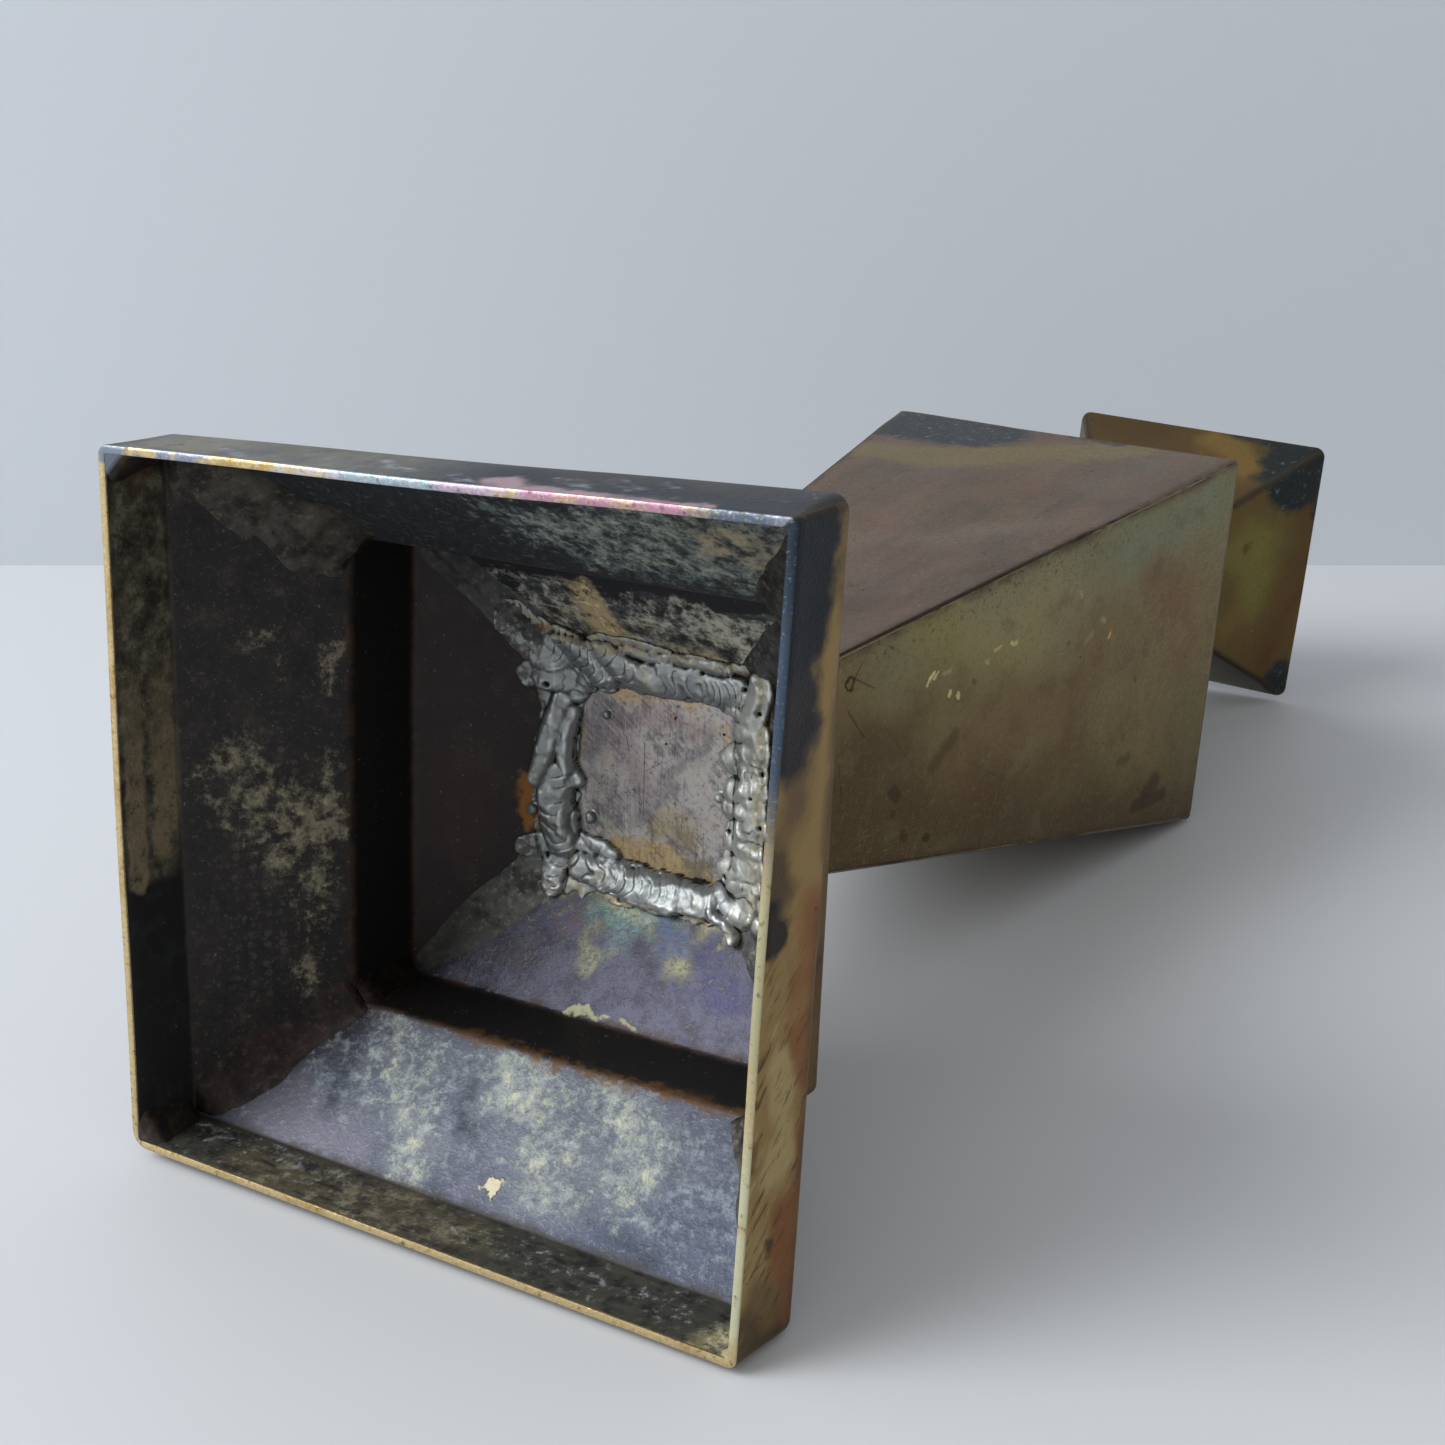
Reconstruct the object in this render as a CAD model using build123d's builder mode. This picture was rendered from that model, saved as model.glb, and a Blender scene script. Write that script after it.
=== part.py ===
"""Square candlestick of brazed sheet brass: stepped hollow foot, inverted pyramid stem, flared square cup.

Millimetres, +Z up. The origin is the centre of the square that the foot stands on.
Every side of the object is the same, so one master piece is made on the +X side, or at the
corner between +X and +Y, and is turned about Z to give the four real pieces.
"""

import os
from math import hypot

from build123d import *

os.makedirs("parts", exist_ok=True)

# ---- driving dimensions -------------------------------------------------------------------

SHEET = 1.2  # thickness of every sheet

BASE_HALF = 50.0  # the foot is 100 mm square
SKIRT_HEIGHT = 11.2  # upright skirt round the foot
RISER_HALF = 35.2  # upright step half way up the foot
RISER_FOOT_Z = 29.8
RISER_TOP_Z = 43.1
UPPER_SLOPE = 0.704  # rise of the foot's upper slope per mm towards the axis
BEND_RADII = (2.0, 1.0, 2.2)  # outside radii of the skirt, riser foot and riser top bends

NECK_HALF = 13.9  # narrow end of the stem, let into the top of the foot
NECK_Z = 55.0
STEM_HALF = 35.55  # wide end of the stem
STEM_Z = 197.5
WAIST_HALF = 11.0  # narrow square between the stem's shoulder and the cup
WAIST_Z = 249.1
FLOOR_PLATE = 1.5  # thickness of the plates that close the neck and the cup
CUP_RIM_HALF = 29.0
CUP_RIM_Z = 281.5

STEM_TWIST = 2.0  # degrees that the stem and the cup are turned, against the foot
CUP_TWIST = 3.0

SEAM = 0.9  # leg of the rounded braze along each outside ridge
EDGE_SEAM = 1.0  # half height of the braze round the stem's wide end
WAIST_BEAD = 1.5  # radius of the braze round the waist
SKIRT_FILLET = 3.5  # legs of the brazed fillets in the foot's inside corners
LOWER_FILLET = 7.0
RISER_FILLET = 3.0
UPPER_FILLET = 5.0
WELD_TOE_HALF = 19.8  # outer edge of the heavy bead round the floor plate
WELD_EYE_HALF = 12.4  # inner edge of that bead
WELD_CROWN = (15.4, 51.9)  # half width and height of the bead's crown
SPATTER = (  # centre x, y, z and radius of each bead of spatter
    (11.2, 0.9, 54.7, 0.8),
    (-8.2, -8.0, 54.7, 0.7),
    (-10.6, 8.0, 54.7, 0.9),
    (-19.3, 7.9, 52.2, 0.9),
)

SIDES = {"right": 0, "back": 90, "left": 180, "front": 270}
CORNERS = {"back_right": 0, "back_left": 90, "front_left": 180, "front_right": 270}
FAR = 120.0  # longer than any piece is wide
CUP_FOOT_Z = WAIST_Z + FLOOR_PLATE

# inside faces of the foot's two slopes, from the outside outline and the sheet
LOWER_SLOPE = (RISER_FOOT_Z - SKIRT_HEIGHT) / (BASE_HALF - RISER_HALF)
LOWER_DROP = SHEET * (hypot(1.0, LOWER_SLOPE) - LOWER_SLOPE)
UPPER_DROP = SHEET * (hypot(1.0, UPPER_SLOPE) - UPPER_SLOPE)


def lower_inside(z):
    """Half width inside the foot's lower slope at height z."""
    return RISER_HALF - SHEET + (RISER_FOOT_Z - LOWER_DROP - z) / LOWER_SLOPE


def upper_inside(z):
    """Half width inside the foot's upper slope at height z."""
    return RISER_HALF - SHEET - (z - RISER_TOP_Z + UPPER_DROP) / UPPER_SLOPE


def save(piece, name):
    """Labels a finished piece and writes it."""
    piece.part.label = name
    export_step(piece.part, f"parts/{name}.step")
    return piece


def turned_copies(master, prefix, places, twist=0.0):
    """The four real pieces that a master stands for, each written as its own node."""
    copies = []
    for place, angle in places.items():
        with BuildPart() as piece:
            add(master.part, rotation=(0, 0, angle + twist))
        copies.append(save(piece, f"{prefix}_{place}"))
    return copies


def cut_away(*solids):
    """Removes finished pieces from the piece being built, so that they meet face to face."""
    for solid in solids:
        add(solid.part, mode=Mode.SUBTRACT)


def mitre():
    """Cuts the piece being built along both diagonals, which leaves its +X quarter."""
    for sign in (1, -1):
        split(bisect_by=Plane(origin=(0, 0, 0), z_dir=(1, sign, 0)), keep=Keep.TOP)


def wall_of(foot, head):
    """Horizontal thickness of a sheet whose outside runs from foot to head, each (half, z)."""
    return SHEET * hypot(head[0] - foot[0], head[1] - foot[1]) / (head[1] - foot[1])


def half_at(foot, head, z):
    """Half width at height z of a pyramid side that runs from foot to head."""
    return foot[0] + (head[0] - foot[0]) * (z - foot[1]) / (head[1] - foot[1])


def ridge_seam(foot, head):
    """Rounded braze along the ridge between the +X and +Y panels."""
    with BuildPart() as seam:
        for half, z in (foot, head):
            with BuildSketch(Plane.XY.offset(z)):
                with Locations((half - SEAM, half - SEAM)):
                    Circle(SEAM)
                    Rectangle(SEAM, SEAM, align=(Align.MIN, Align.MIN), mode=Mode.INTERSECT)
        loft()
    return seam


def ridge_groove(foot, head):
    """Room for the ridge braze, open to the outside, from below foot to above head."""
    with BuildPart() as groove:
        for z in (foot[1] - 1.0, head[1] + 1.0):
            inner = half_at(foot, head, z) - SEAM
            with BuildSketch(Plane.XY.offset(z)):
                with Locations((inner, inner)):
                    Rectangle(2 * SEAM, 2 * SEAM, align=(Align.MIN, Align.MIN))
        loft()
    return groove


def sloping_panel(foot, head):
    """Flat tapered sheet of the +X side, mitred on the diagonals, with both ridges grooved."""
    groove = ridge_groove(foot, head)
    wall = wall_of(foot, head)
    with BuildPart() as panel:
        with BuildSketch(Plane.XZ):
            Polygon(foot, head, (head[0] - wall, head[1]), (foot[0] - wall, foot[1]), align=None)
        extrude(amount=FAR, both=True)
        mitre()
        for angle in (0, -90):
            add(groove.part, rotation=(0, 0, angle), mode=Mode.SUBTRACT)
    return panel


# ---- stem, shoulder and cup: masters ------------------------------------------------------

STEM_FOOT = (NECK_HALF, NECK_Z)
STEM_HEAD = (STEM_HALF, STEM_Z)
WAIST_FOOT = (WAIST_HALF, WAIST_Z)
CUP_FOOT = (WAIST_HALF, CUP_FOOT_Z)
CUP_HEAD = (CUP_RIM_HALF, CUP_RIM_Z)
STEM_TOP = (half_at(STEM_FOOT, STEM_HEAD, STEM_Z - EDGE_SEAM), STEM_Z - EDGE_SEAM)
SHOULDER_FOOT = (half_at(STEM_HEAD, WAIST_FOOT, STEM_Z + EDGE_SEAM), STEM_Z + EDGE_SEAM)

stem_master = sloping_panel(STEM_FOOT, STEM_TOP)
shoulder_master = sloping_panel(SHOULDER_FOOT, WAIST_FOOT)
cup_master = sloping_panel(CUP_FOOT, CUP_HEAD)

stem_panels = turned_copies(stem_master, "stem_panel", SIDES, STEM_TWIST)
shoulder_panels = turned_copies(shoulder_master, "shoulder_panel", SIDES, STEM_TWIST)
cup_panels = turned_copies(cup_master, "cup_panel", SIDES, CUP_TWIST)

stem_seams = turned_copies(ridge_seam(STEM_FOOT, STEM_TOP), "stem_seam", CORNERS, STEM_TWIST)
shoulder_seams = turned_copies(
    ridge_seam(SHOULDER_FOOT, WAIST_FOOT), "shoulder_seam", CORNERS, STEM_TWIST
)
cup_seams = turned_copies(ridge_seam(CUP_FOOT, CUP_HEAD), "cup_seam", CORNERS, CUP_TWIST)

# braze round the stem's wide end: one run on each side, joined at the diagonals
with BuildPart() as wide_end_run:
    stem_wall = wall_of(STEM_FOOT, STEM_HEAD)
    shoulder_wall = wall_of(STEM_HEAD, WAIST_FOOT)
    with BuildSketch(Plane.XZ):
        with BuildLine():
            ThreePointArc(STEM_TOP, STEM_HEAD, SHOULDER_FOOT)
            Polyline(
                SHOULDER_FOOT,
                (SHOULDER_FOOT[0] - shoulder_wall, SHOULDER_FOOT[1]),
                (STEM_TOP[0] - stem_wall, STEM_TOP[1]),
                STEM_TOP,
            )
        make_face()
    extrude(amount=FAR, both=True)
    mitre()

with BuildPart() as wide_end_seam:
    for angle in SIDES.values():
        add(wide_end_run.part, rotation=(0, 0, angle + STEM_TWIST))
save(wide_end_seam, "wide_end_seam")

# ---- plates that close the neck and the cup ----------------------------------------------

stem_bore = 2 * (NECK_HALF - wall_of(STEM_FOOT, STEM_HEAD))
with BuildPart() as stem_floor_plate:
    with BuildSketch(Plane.XY.offset(NECK_Z)):
        Rectangle(stem_bore, stem_bore, rotation=STEM_TWIST)
    extrude(amount=FLOOR_PLATE)
save(stem_floor_plate, "stem_floor_plate")

with BuildPart() as cup_floor:
    with BuildSketch(Plane.XY.offset(WAIST_Z)):
        Rectangle(2 * WAIST_HALF, 2 * WAIST_HALF, rotation=STEM_TWIST)
    extrude(amount=FLOOR_PLATE)
save(cup_floor, "cup_floor")

# braze that runs right round the edge of the cup's floor
with BuildPart() as waist_run:
    with BuildSketch(Plane.XZ):
        with Locations((WAIST_HALF, WAIST_Z + FLOOR_PLATE / 2)):
            Circle(WAIST_BEAD)
    extrude(amount=FAR, both=True)
    mitre()

with BuildPart() as waist_bead:
    for angle in SIDES.values():
        add(waist_run.part, rotation=(0, 0, angle + STEM_TWIST))
    cut_away(*shoulder_panels, *shoulder_seams, cup_floor, *cup_panels, *cup_seams)
    with BuildSketch(Plane.XY.offset(WAIST_Z - WAIST_BEAD)):
        Rectangle(2 * WAIST_HALF - SHEET, 2 * WAIST_HALF - SHEET, rotation=STEM_TWIST)
    extrude(amount=2 * WAIST_BEAD + FLOOR_PLATE, mode=Mode.SUBTRACT)
save(waist_bead, "waist_bead")

# ---- foot ---------------------------------------------------------------------------------

with BuildPart() as stem_envelope:
    for z in (NECK_Z - 2 * SHEET, RISER_TOP_Z + 2 * NECK_HALF):
        side = 2 * half_at(STEM_FOOT, STEM_HEAD, z)
        with BuildSketch(Plane.XY.offset(z)):
            Rectangle(side, side, rotation=STEM_TWIST)
    loft()

# one sheet, folded three times: skirt, lower slope, riser, upper slope
slope_end = NECK_HALF - SHEET
slope_end_z = RISER_TOP_Z + UPPER_SLOPE * (RISER_HALF - slope_end)
with BuildPart() as base_master:
    with BuildSketch(Plane.XZ):
        with BuildLine():
            FilletPolyline(
                (BASE_HALF, 0),
                (BASE_HALF, SKIRT_HEIGHT),
                (RISER_HALF, RISER_FOOT_Z),
                (RISER_HALF, RISER_TOP_Z),
                (slope_end, slope_end_z),
                radius=BEND_RADII,
            )
            offset(amount=SHEET, side=Side.LEFT)
        make_face()
    extrude(amount=FAR, both=True)
    mitre()

# the opening for the stem is turned with the stem, so it is cut after each copy is placed
base_panels = []
for place, angle in SIDES.items():
    with BuildPart() as base_panel:
        add(base_master.part, rotation=(0, 0, angle))
        cut_away(stem_envelope)
    base_panels.append(save(base_panel, f"base_panel_{place}"))


def corner_fillet(half_width, low_z, high_z, leg):
    """Three-sided braze in the inside corner between the +X and +Y sheets."""
    with BuildPart() as fillet:
        for z in (low_z, high_z):
            half = half_width(z)
            with BuildSketch(Plane.XY.offset(z)):
                Polygon((half, half), (half - leg, half), (half, half - leg), align=None)
        loft()
    return fillet


lower_master = corner_fillet(lower_inside, SKIRT_HEIGHT + 0.4, RISER_FOOT_Z - 1.2, LOWER_FILLET)
upper_master = corner_fillet(upper_inside, RISER_TOP_Z + 0.1, WELD_CROWN[1] - 0.4, UPPER_FILLET)
skirt_master = corner_fillet(lambda z: BASE_HALF - SHEET, 0.4, SKIRT_HEIGHT - 1.2, SKIRT_FILLET)
riser_master = corner_fillet(
    lambda z: RISER_HALF - SHEET, RISER_FOOT_Z + 0.6, RISER_TOP_Z - 1.6, RISER_FILLET
)

lower_brazes = turned_copies(lower_master, "lower_corner_braze", CORNERS)
upper_brazes = turned_copies(upper_master, "upper_corner_braze", CORNERS)
for group_name, group_master in (
    ("skirt_corner_solder", skirt_master),
    ("riser_corner_braze", riser_master),
):
    with BuildPart() as corner_group:
        for angle in CORNERS.values():
            add(group_master.part, rotation=(0, 0, angle))
    save(corner_group, group_name)

# ---- heavy bead that holds the stem in the foot -------------------------------------------

weld_toe_rise = UPPER_SLOPE * (RISER_HALF - SHEET - WELD_TOE_HALF)
WELD_TOE = (WELD_TOE_HALF, RISER_TOP_Z - UPPER_DROP + weld_toe_rise)
WELD_EYE = (WELD_EYE_HALF, NECK_Z)
SLOPE_ROOT = (NECK_HALF + SHEET, NECK_Z + SHEET)  # inside the sheet of the upper slope
WALL_MIDDLE = NECK_HALF - 0.45 * SHEET  # stays within the stem's wall, though that is turned
WALL_ROOT = (WALL_MIDDLE, NECK_Z + SHEET)
WALL_EDGE = (WALL_MIDDLE, NECK_Z)

with BuildPart() as weld_master:
    with BuildSketch(Plane.XZ):
        with BuildLine():
            ThreePointArc(WELD_EYE, WELD_CROWN, WELD_TOE)
            Polyline(WELD_TOE, SLOPE_ROOT, WALL_ROOT, WALL_EDGE, WELD_EYE)
        make_face()
    extrude(amount=FAR, both=True)
    mitre()

floor_welds = []
for place, angle in SIDES.items():
    with BuildPart() as floor_weld:
        add(weld_master.part, rotation=(0, 0, angle))
        cut_away(*base_panels, *stem_panels, *stem_seams, stem_floor_plate, *upper_brazes)
    floor_welds.append(save(floor_weld, f"floor_weld_{place}"))

with BuildPart() as weld_spatter:
    for x, y, z, radius in SPATTER:
        with Locations((x, y, z)):
            Sphere(radius)
    cut_away(*base_panels, *floor_welds, stem_floor_plate)
save(weld_spatter, "weld_spatter")
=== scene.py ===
"""Looks for the square brass candlestick: worked sheet, ridge seams, brazed corners and the rippled weld.

Lengths are in millimetres in the object's frame (+Z from the foot to the cup) until make_piece()
turns them into metres. The candlestick lies on its +Y side on a pale table, as in the photograph.
"""

import math
from functools import partial, reduce
from itertools import product

import bmesh
import bpy
import numpy as np
from mathutils import Matrix, Vector


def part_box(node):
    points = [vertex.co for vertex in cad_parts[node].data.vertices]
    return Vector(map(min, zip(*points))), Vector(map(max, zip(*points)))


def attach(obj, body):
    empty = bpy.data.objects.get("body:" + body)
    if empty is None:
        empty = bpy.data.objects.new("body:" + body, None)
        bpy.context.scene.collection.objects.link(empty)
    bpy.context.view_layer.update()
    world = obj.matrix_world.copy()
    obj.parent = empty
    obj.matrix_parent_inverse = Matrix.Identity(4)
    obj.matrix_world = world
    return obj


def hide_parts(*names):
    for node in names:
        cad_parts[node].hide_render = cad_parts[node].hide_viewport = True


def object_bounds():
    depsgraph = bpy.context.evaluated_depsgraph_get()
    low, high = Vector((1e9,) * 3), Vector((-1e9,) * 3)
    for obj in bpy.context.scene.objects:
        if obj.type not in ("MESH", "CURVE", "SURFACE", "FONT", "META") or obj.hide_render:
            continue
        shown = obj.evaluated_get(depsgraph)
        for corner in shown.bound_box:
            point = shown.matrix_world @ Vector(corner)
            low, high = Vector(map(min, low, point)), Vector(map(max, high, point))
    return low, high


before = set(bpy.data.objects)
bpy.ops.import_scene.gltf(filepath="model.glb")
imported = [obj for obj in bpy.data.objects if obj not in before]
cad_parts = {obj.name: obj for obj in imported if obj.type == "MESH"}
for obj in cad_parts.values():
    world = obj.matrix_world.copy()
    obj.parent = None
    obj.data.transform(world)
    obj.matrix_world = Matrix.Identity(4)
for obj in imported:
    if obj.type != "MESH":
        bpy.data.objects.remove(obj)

MM = 0.001
CAD_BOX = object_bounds()

# ---- driving sizes, as in the part -----------------------------------------------------------

SHEET = 1.2
BASE_HALF = CAD_BOX[1].x / MM
SKIRT_TOP = 11.2
RISER_HALF = 35.2
RISER_FOOT = 29.8
RISER_TOP = 43.1
UPPER_SLOPE = 0.704  # rise for each mm inwards
NECK_HALF = 13.9
NECK_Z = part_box("stem_floor_plate")[0].z / MM
PLATE_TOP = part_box("stem_floor_plate")[1].z / MM
STEM_HALF = 35.55
STEM_TOP = 197.5
WAIST_HALF = 11.0
WAIST_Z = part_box("cup_floor")[0].z / MM
CUP_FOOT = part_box("cup_floor")[1].z / MM
CUP_HALF = 29.0
CUP_TOP = CAD_BOX[1].z / MM
STEM_TWIST = 2.0
CUP_TWIST = 3.0
LOWER_SLOPE = (RISER_FOOT - SKIRT_TOP) / (BASE_HALF - RISER_HALF)

# the inner faces of the foot
INNER_SKIRT = BASE_HALF - SHEET
INNER_RISER = RISER_HALF - SHEET
INNER_RISER_TOP = RISER_TOP - 0.68

SIDES = {"right": 0, "back": 90, "left": 180, "front": 270}
CORNERS = {"back_right": 45, "back_left": 135, "front_left": 225, "front_right": 315}


def stem_half(z):
    return NECK_HALF + (STEM_HALF - NECK_HALF) * (z - NECK_Z) / (STEM_TOP - NECK_Z)


def cup_half(z):
    return WAIST_HALF + (CUP_HALF - WAIST_HALF) * (z - CUP_FOOT) / (CUP_TOP - CUP_FOOT)


def lower_inside(z):
    """Half width inside the foot's lower slope."""
    return INNER_RISER + (RISER_FOOT - 0.4 - z) / LOWER_SLOPE


def foot_roof(x, y):
    """Height of the upper slope and the floor plate, seen from below."""
    reach = np.maximum(np.abs(x), np.abs(y))
    return np.minimum(NECK_Z, INNER_RISER_TOP + UPPER_SLOPE * (INNER_RISER - reach))


# ---- numbers: noise and the hand-made warp -----------------------------------------------------

def smooth(low, high, value):
    """0 below low, 1 above high, eased between them."""
    t = np.clip((value - low) / (high - low), 0.0, 1.0)
    return t * t * (3 - 2 * t)


NOISE_CELLS = 17  # after this many cells the noise repeats


def value_noise(points, size, seed):
    """Smooth noise from -1 to 1 at points (n, 3), with features about size across."""
    cells = np.random.RandomState(seed).rand(NOISE_CELLS, NOISE_CELLS, NOISE_CELLS) * 2 - 1
    q = np.asarray(points, float) / size + 100.0
    base = np.floor(q).astype(int)
    t = q - base
    t = t * t * t * (t * (6 * t - 15) + 10)
    total = 0.0
    for step in product((0, 1), repeat=3):
        weight = np.where(step, t, 1 - t).prod(axis=1)
        total = total + weight * cells[tuple(((base + step) % NOISE_CELLS).T)]
    return total


def fractal(points, size, seed, octaves=3):
    """Layers of value_noise, each half the size and half as strong."""
    total = 0.0
    for octave in range(octaves):
        total = total + value_noise(points, size / 2**octave, seed + octave) / 2**octave
    return total / 1.75


# how far each corner of the foot's rim is from square: sign of x, sign of y, dx, dy
RIM_SKEW = ((-1, -1, -0.8, 1.9), (1, -1, 1.6, -0.8), (1, 1, -1.7, 0.3), (-1, 1, 0.5, -0.1))
# and how far its fold is from square
FOLD_SKEW = ((-1, -1, -0.5, -0.4), (1, -1, 0.3, -1.3), (1, 1, 1.2, 0.3), (-1, 1, 0.0, 0.0))
SHEET_WAVE = 0.22
WAVE_LENGTH = 34.0


def hand_warp(points):
    """The small unevenness of hand-worked sheet: one field for all pieces, so joints stay shut."""
    p = np.array(points, float)
    fade = 1 - smooth(SKIRT_TOP, RISER_FOOT, p[:, 2])
    shift = np.zeros_like(p)
    folded = smooth(0, SKIRT_TOP, p[:, 2])
    for corners, share in ((RIM_SKEW, fade), (FOLD_SKEW, fade * folded)):
        for sx, sy, dx, dy in corners:
            weight = (1 + sx * p[:, 0] / BASE_HALF) * (1 + sy * p[:, 1] / BASE_HALF) / 4 * share
            shift[:, 0] += dx * weight
            shift[:, 1] += dy * weight
    for axis, seed in ((0, 3), (1, 7), (2, 11)):
        still = smooth(0, 8, p[:, 2]) if axis == 2 else 1.0
        shift[:, axis] += SHEET_WAVE * value_noise(p, WAVE_LENGTH, seed) * still
    return p + shift


def turned(points, degrees):
    """Points turned about the object's axis."""
    a = math.radians(degrees)
    x, y = points[:, 0], points[:, 1]
    return np.c_[x * math.cos(a) - y * math.sin(a), x * math.sin(a) + y * math.cos(a), points[:, 2]]


# ---- meshes ------------------------------------------------------------------------------------

SHARP_ANGLE = math.radians(40)


def make_piece(name, points, faces, replaced, slot, materials, kinds=None, sharp=SHARP_ANGLE, values=None):
    """A closed mesh that stands for the CAD nodes in replaced; kinds gives each face's material."""
    mesh = bpy.data.meshes.new(name)
    mesh.from_pydata((hand_warp(points) * MM).tolist(), [], faces)
    for material in materials:
        mesh.materials.append(material)
    if kinds is not None:
        mesh.polygons.foreach_set("material_index", kinds)
    for key, numbers in (values or {}).items():
        mesh.attributes.new(key, "FLOAT", "POINT").data.foreach_set("value", numbers)
    shell = bmesh.new()
    shell.from_mesh(mesh)
    bmesh.ops.recalc_face_normals(shell, faces=shell.faces)
    shell.to_mesh(mesh)
    shell.free()
    mesh.polygons.foreach_set("use_smooth", [True] * len(mesh.polygons))
    mesh.set_sharp_from_angle(angle=sharp)
    piece = bpy.data.objects.new(name, mesh)
    bpy.context.scene.collection.objects.link(piece)
    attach(piece, "root")
    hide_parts(*replaced)
    return piece


def tube_faces(rows, columns, closed=False):
    """Faces of a grid whose rows close on themselves; its columns are capped, or closed too."""
    faces = []
    for i in range(rows):
        j = (i + 1) % rows
        for k in range(columns if closed else columns - 1):
            m = (k + 1) % columns
            faces.append((i * columns + k, j * columns + k, j * columns + m, i * columns + m))
    if not closed:
        faces.append([i * columns for i in reversed(range(rows))])
        faces.append([i * columns + columns - 1 for i in range(rows)])
    return faces


def join_shells(shells):
    """Several (points, faces) as one."""
    points, faces, start = [], [], 0
    for shell_points, shell_faces in shells:
        points.append(shell_points)
        faces += [[start + v for v in face] for face in shell_faces]
        start += len(shell_points)
    return np.vstack(points), faces


# ---- sheet metal -------------------------------------------------------------------------------

FOLD_STEP = 1.6  # between rows along a flat
ARC_STEP = 7.0  # degrees between rows round a bend


def fold_line(corners, radii):
    """Points and left-hand normals along a bent line, with an arc of each radius at its corners."""
    corners = [np.array(c, float) for c in corners]
    points, normals = [], []

    def run(start, end, first):
        length = np.linalg.norm(end - start)
        along = (end - start) / length
        for t in np.linspace(0, 1, max(2, int(length / FOLD_STEP) + 1))[0 if first else 1:]:
            points.append(start + (end - start) * t)
            normals.append(np.array([-along[1], along[0]]))

    here = corners[0]
    for before, corner, after, radius in zip(corners, corners[1:], corners[2:], radii):
        d0 = (corner - before) / np.linalg.norm(corner - before)
        d1 = (after - corner) / np.linalg.norm(after - corner)
        turn = math.atan2(d0[0] * d1[1] - d0[1] * d1[0], d0 @ d1)
        reach = radius * abs(math.tan(turn / 2))
        run(here, corner - d0 * reach, not points)
        side = 1 if turn > 0 else -1
        normal = np.array([-d0[1], d0[0]])
        centre = corner - d0 * reach + normal * radius * side
        for t in np.linspace(0, turn, max(3, int(abs(math.degrees(turn)) / ARC_STEP) + 1))[1:]:
            c, s = math.cos(t), math.sin(t)
            n = np.array([normal[0] * c - normal[1] * s, normal[0] * s + normal[1] * c])
            points.append(centre - n * radius * side)
            normals.append(n)
        here = corner + d1 * reach
    run(here, corners[-1], not points)
    return np.array(points), np.array(normals)


EDGE_ROUND = 0.28
EDGE_MIDDLE = 0.29 * EDGE_ROUND  # how far in the middle of the rounding lies
OUTSIDE, INSIDE, CUT = 0, 1, 2


def sheet_section(corners, radii=()):
    """Closed outline (half width, z, depth from 0 outside to 1 inside) of a bent sheet."""
    line, normal = fold_line(corners, radii)
    first = (line[1] - line[0]) / np.linalg.norm(line[1] - line[0])
    last = (line[-1] - line[-2]) / np.linalg.norm(line[-1] - line[-2])
    stops = [(0, EDGE_ROUND), (EDGE_MIDDLE, EDGE_MIDDLE), (EDGE_ROUND, 0), (SHEET / 2, 0)]
    stops += [(SHEET - depth, back) for depth, back in stops[2::-1]]

    def cut_edge(end, inward, n):
        return [(*(end + n * depth + inward * back), depth / SHEET) for depth, back in stops]

    outline = cut_edge(line[0], first, normal[0])[::-1]
    outline += [(p[0], p[1], 0.0) for p in line[1:-1]]
    outline += cut_edge(line[-1], -last, normal[-1])
    outline += [(*(p + n * SHEET), 1.0) for p, n in reversed(list(zip(line[1:-1], normal[1:-1])))]
    return np.array(outline)


STRAIGHT_COLUMNS = 56
ARC_COLUMNS = 5
INNER_CORNER = 0.35


def sheet_side(section, round_at, side):
    """The +X quarter of a square shell with rounded corners; side tells which corners it meets."""
    angles = np.radians(np.linspace(45, 0, ARC_COLUMNS + 1)[:-1])
    across = np.linspace(-1, 1, STRAIGHT_COLUMNS + 1)
    points = []
    for half, z, depth in section:
        start, end = (round_at(z, corner % 4) * (1 - depth) + INNER_CORNER * depth
                      for corner in (side, side + 1))
        points += [(half - start + start * math.cos(a), start - half - start * math.sin(a), z)
                   for a in angles]
        points += [(half, (half - (start if t < 0 else end)) * t, z) for t in across]
        points += [(half - end + end * math.cos(a), half - end + end * math.sin(a), z) for a in angles[::-1]]
    columns = len(across) + 2 * len(angles)
    depths = section[:, 2]
    pairs = list(zip(depths, np.roll(depths, -1)))
    row_kinds = [OUTSIDE if max(p) < 0.01 else INSIDE if min(p) > 0.99 else CUT for p in pairs]
    kinds = np.repeat(row_kinds, columns - 1).tolist() + [CUT, CUT]
    return np.array(points), tube_faces(len(section), columns), kinds


def sheet_pieces(prefix, corners, radii, round_at, twist, looks):
    """The four panels of one storey, each closed along the diagonals; looks gives each side's materials."""
    section = sheet_section(corners, radii)
    for side, (place, degrees) in enumerate(SIDES.items()):
        points, faces, kinds = sheet_side(section, round_at, side)
        make_piece(f"{prefix}_sheet_{place}", turned(points, degrees + twist), faces,
                   [f"{prefix}_panel_{place}"], "patinated_sheet", looks[place], kinds)


# outside radius at the rim and at the fold: front right, back right, back left, front left
SKIRT_ROUNDING = ((1.0, 2.0), (1.1, 1.9), (2.8, 2.4), (1.5, 3.4))
SLOPE_ROUNDING = 1.1


def skirt_corner(z, corner=0):
    at_rim, at_fold = SKIRT_ROUNDING[corner]
    low = at_rim + (at_fold - at_rim) * smooth(0, 9, z)
    return low + (SLOPE_ROUNDING - low) * smooth(11, 17, z)


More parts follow.
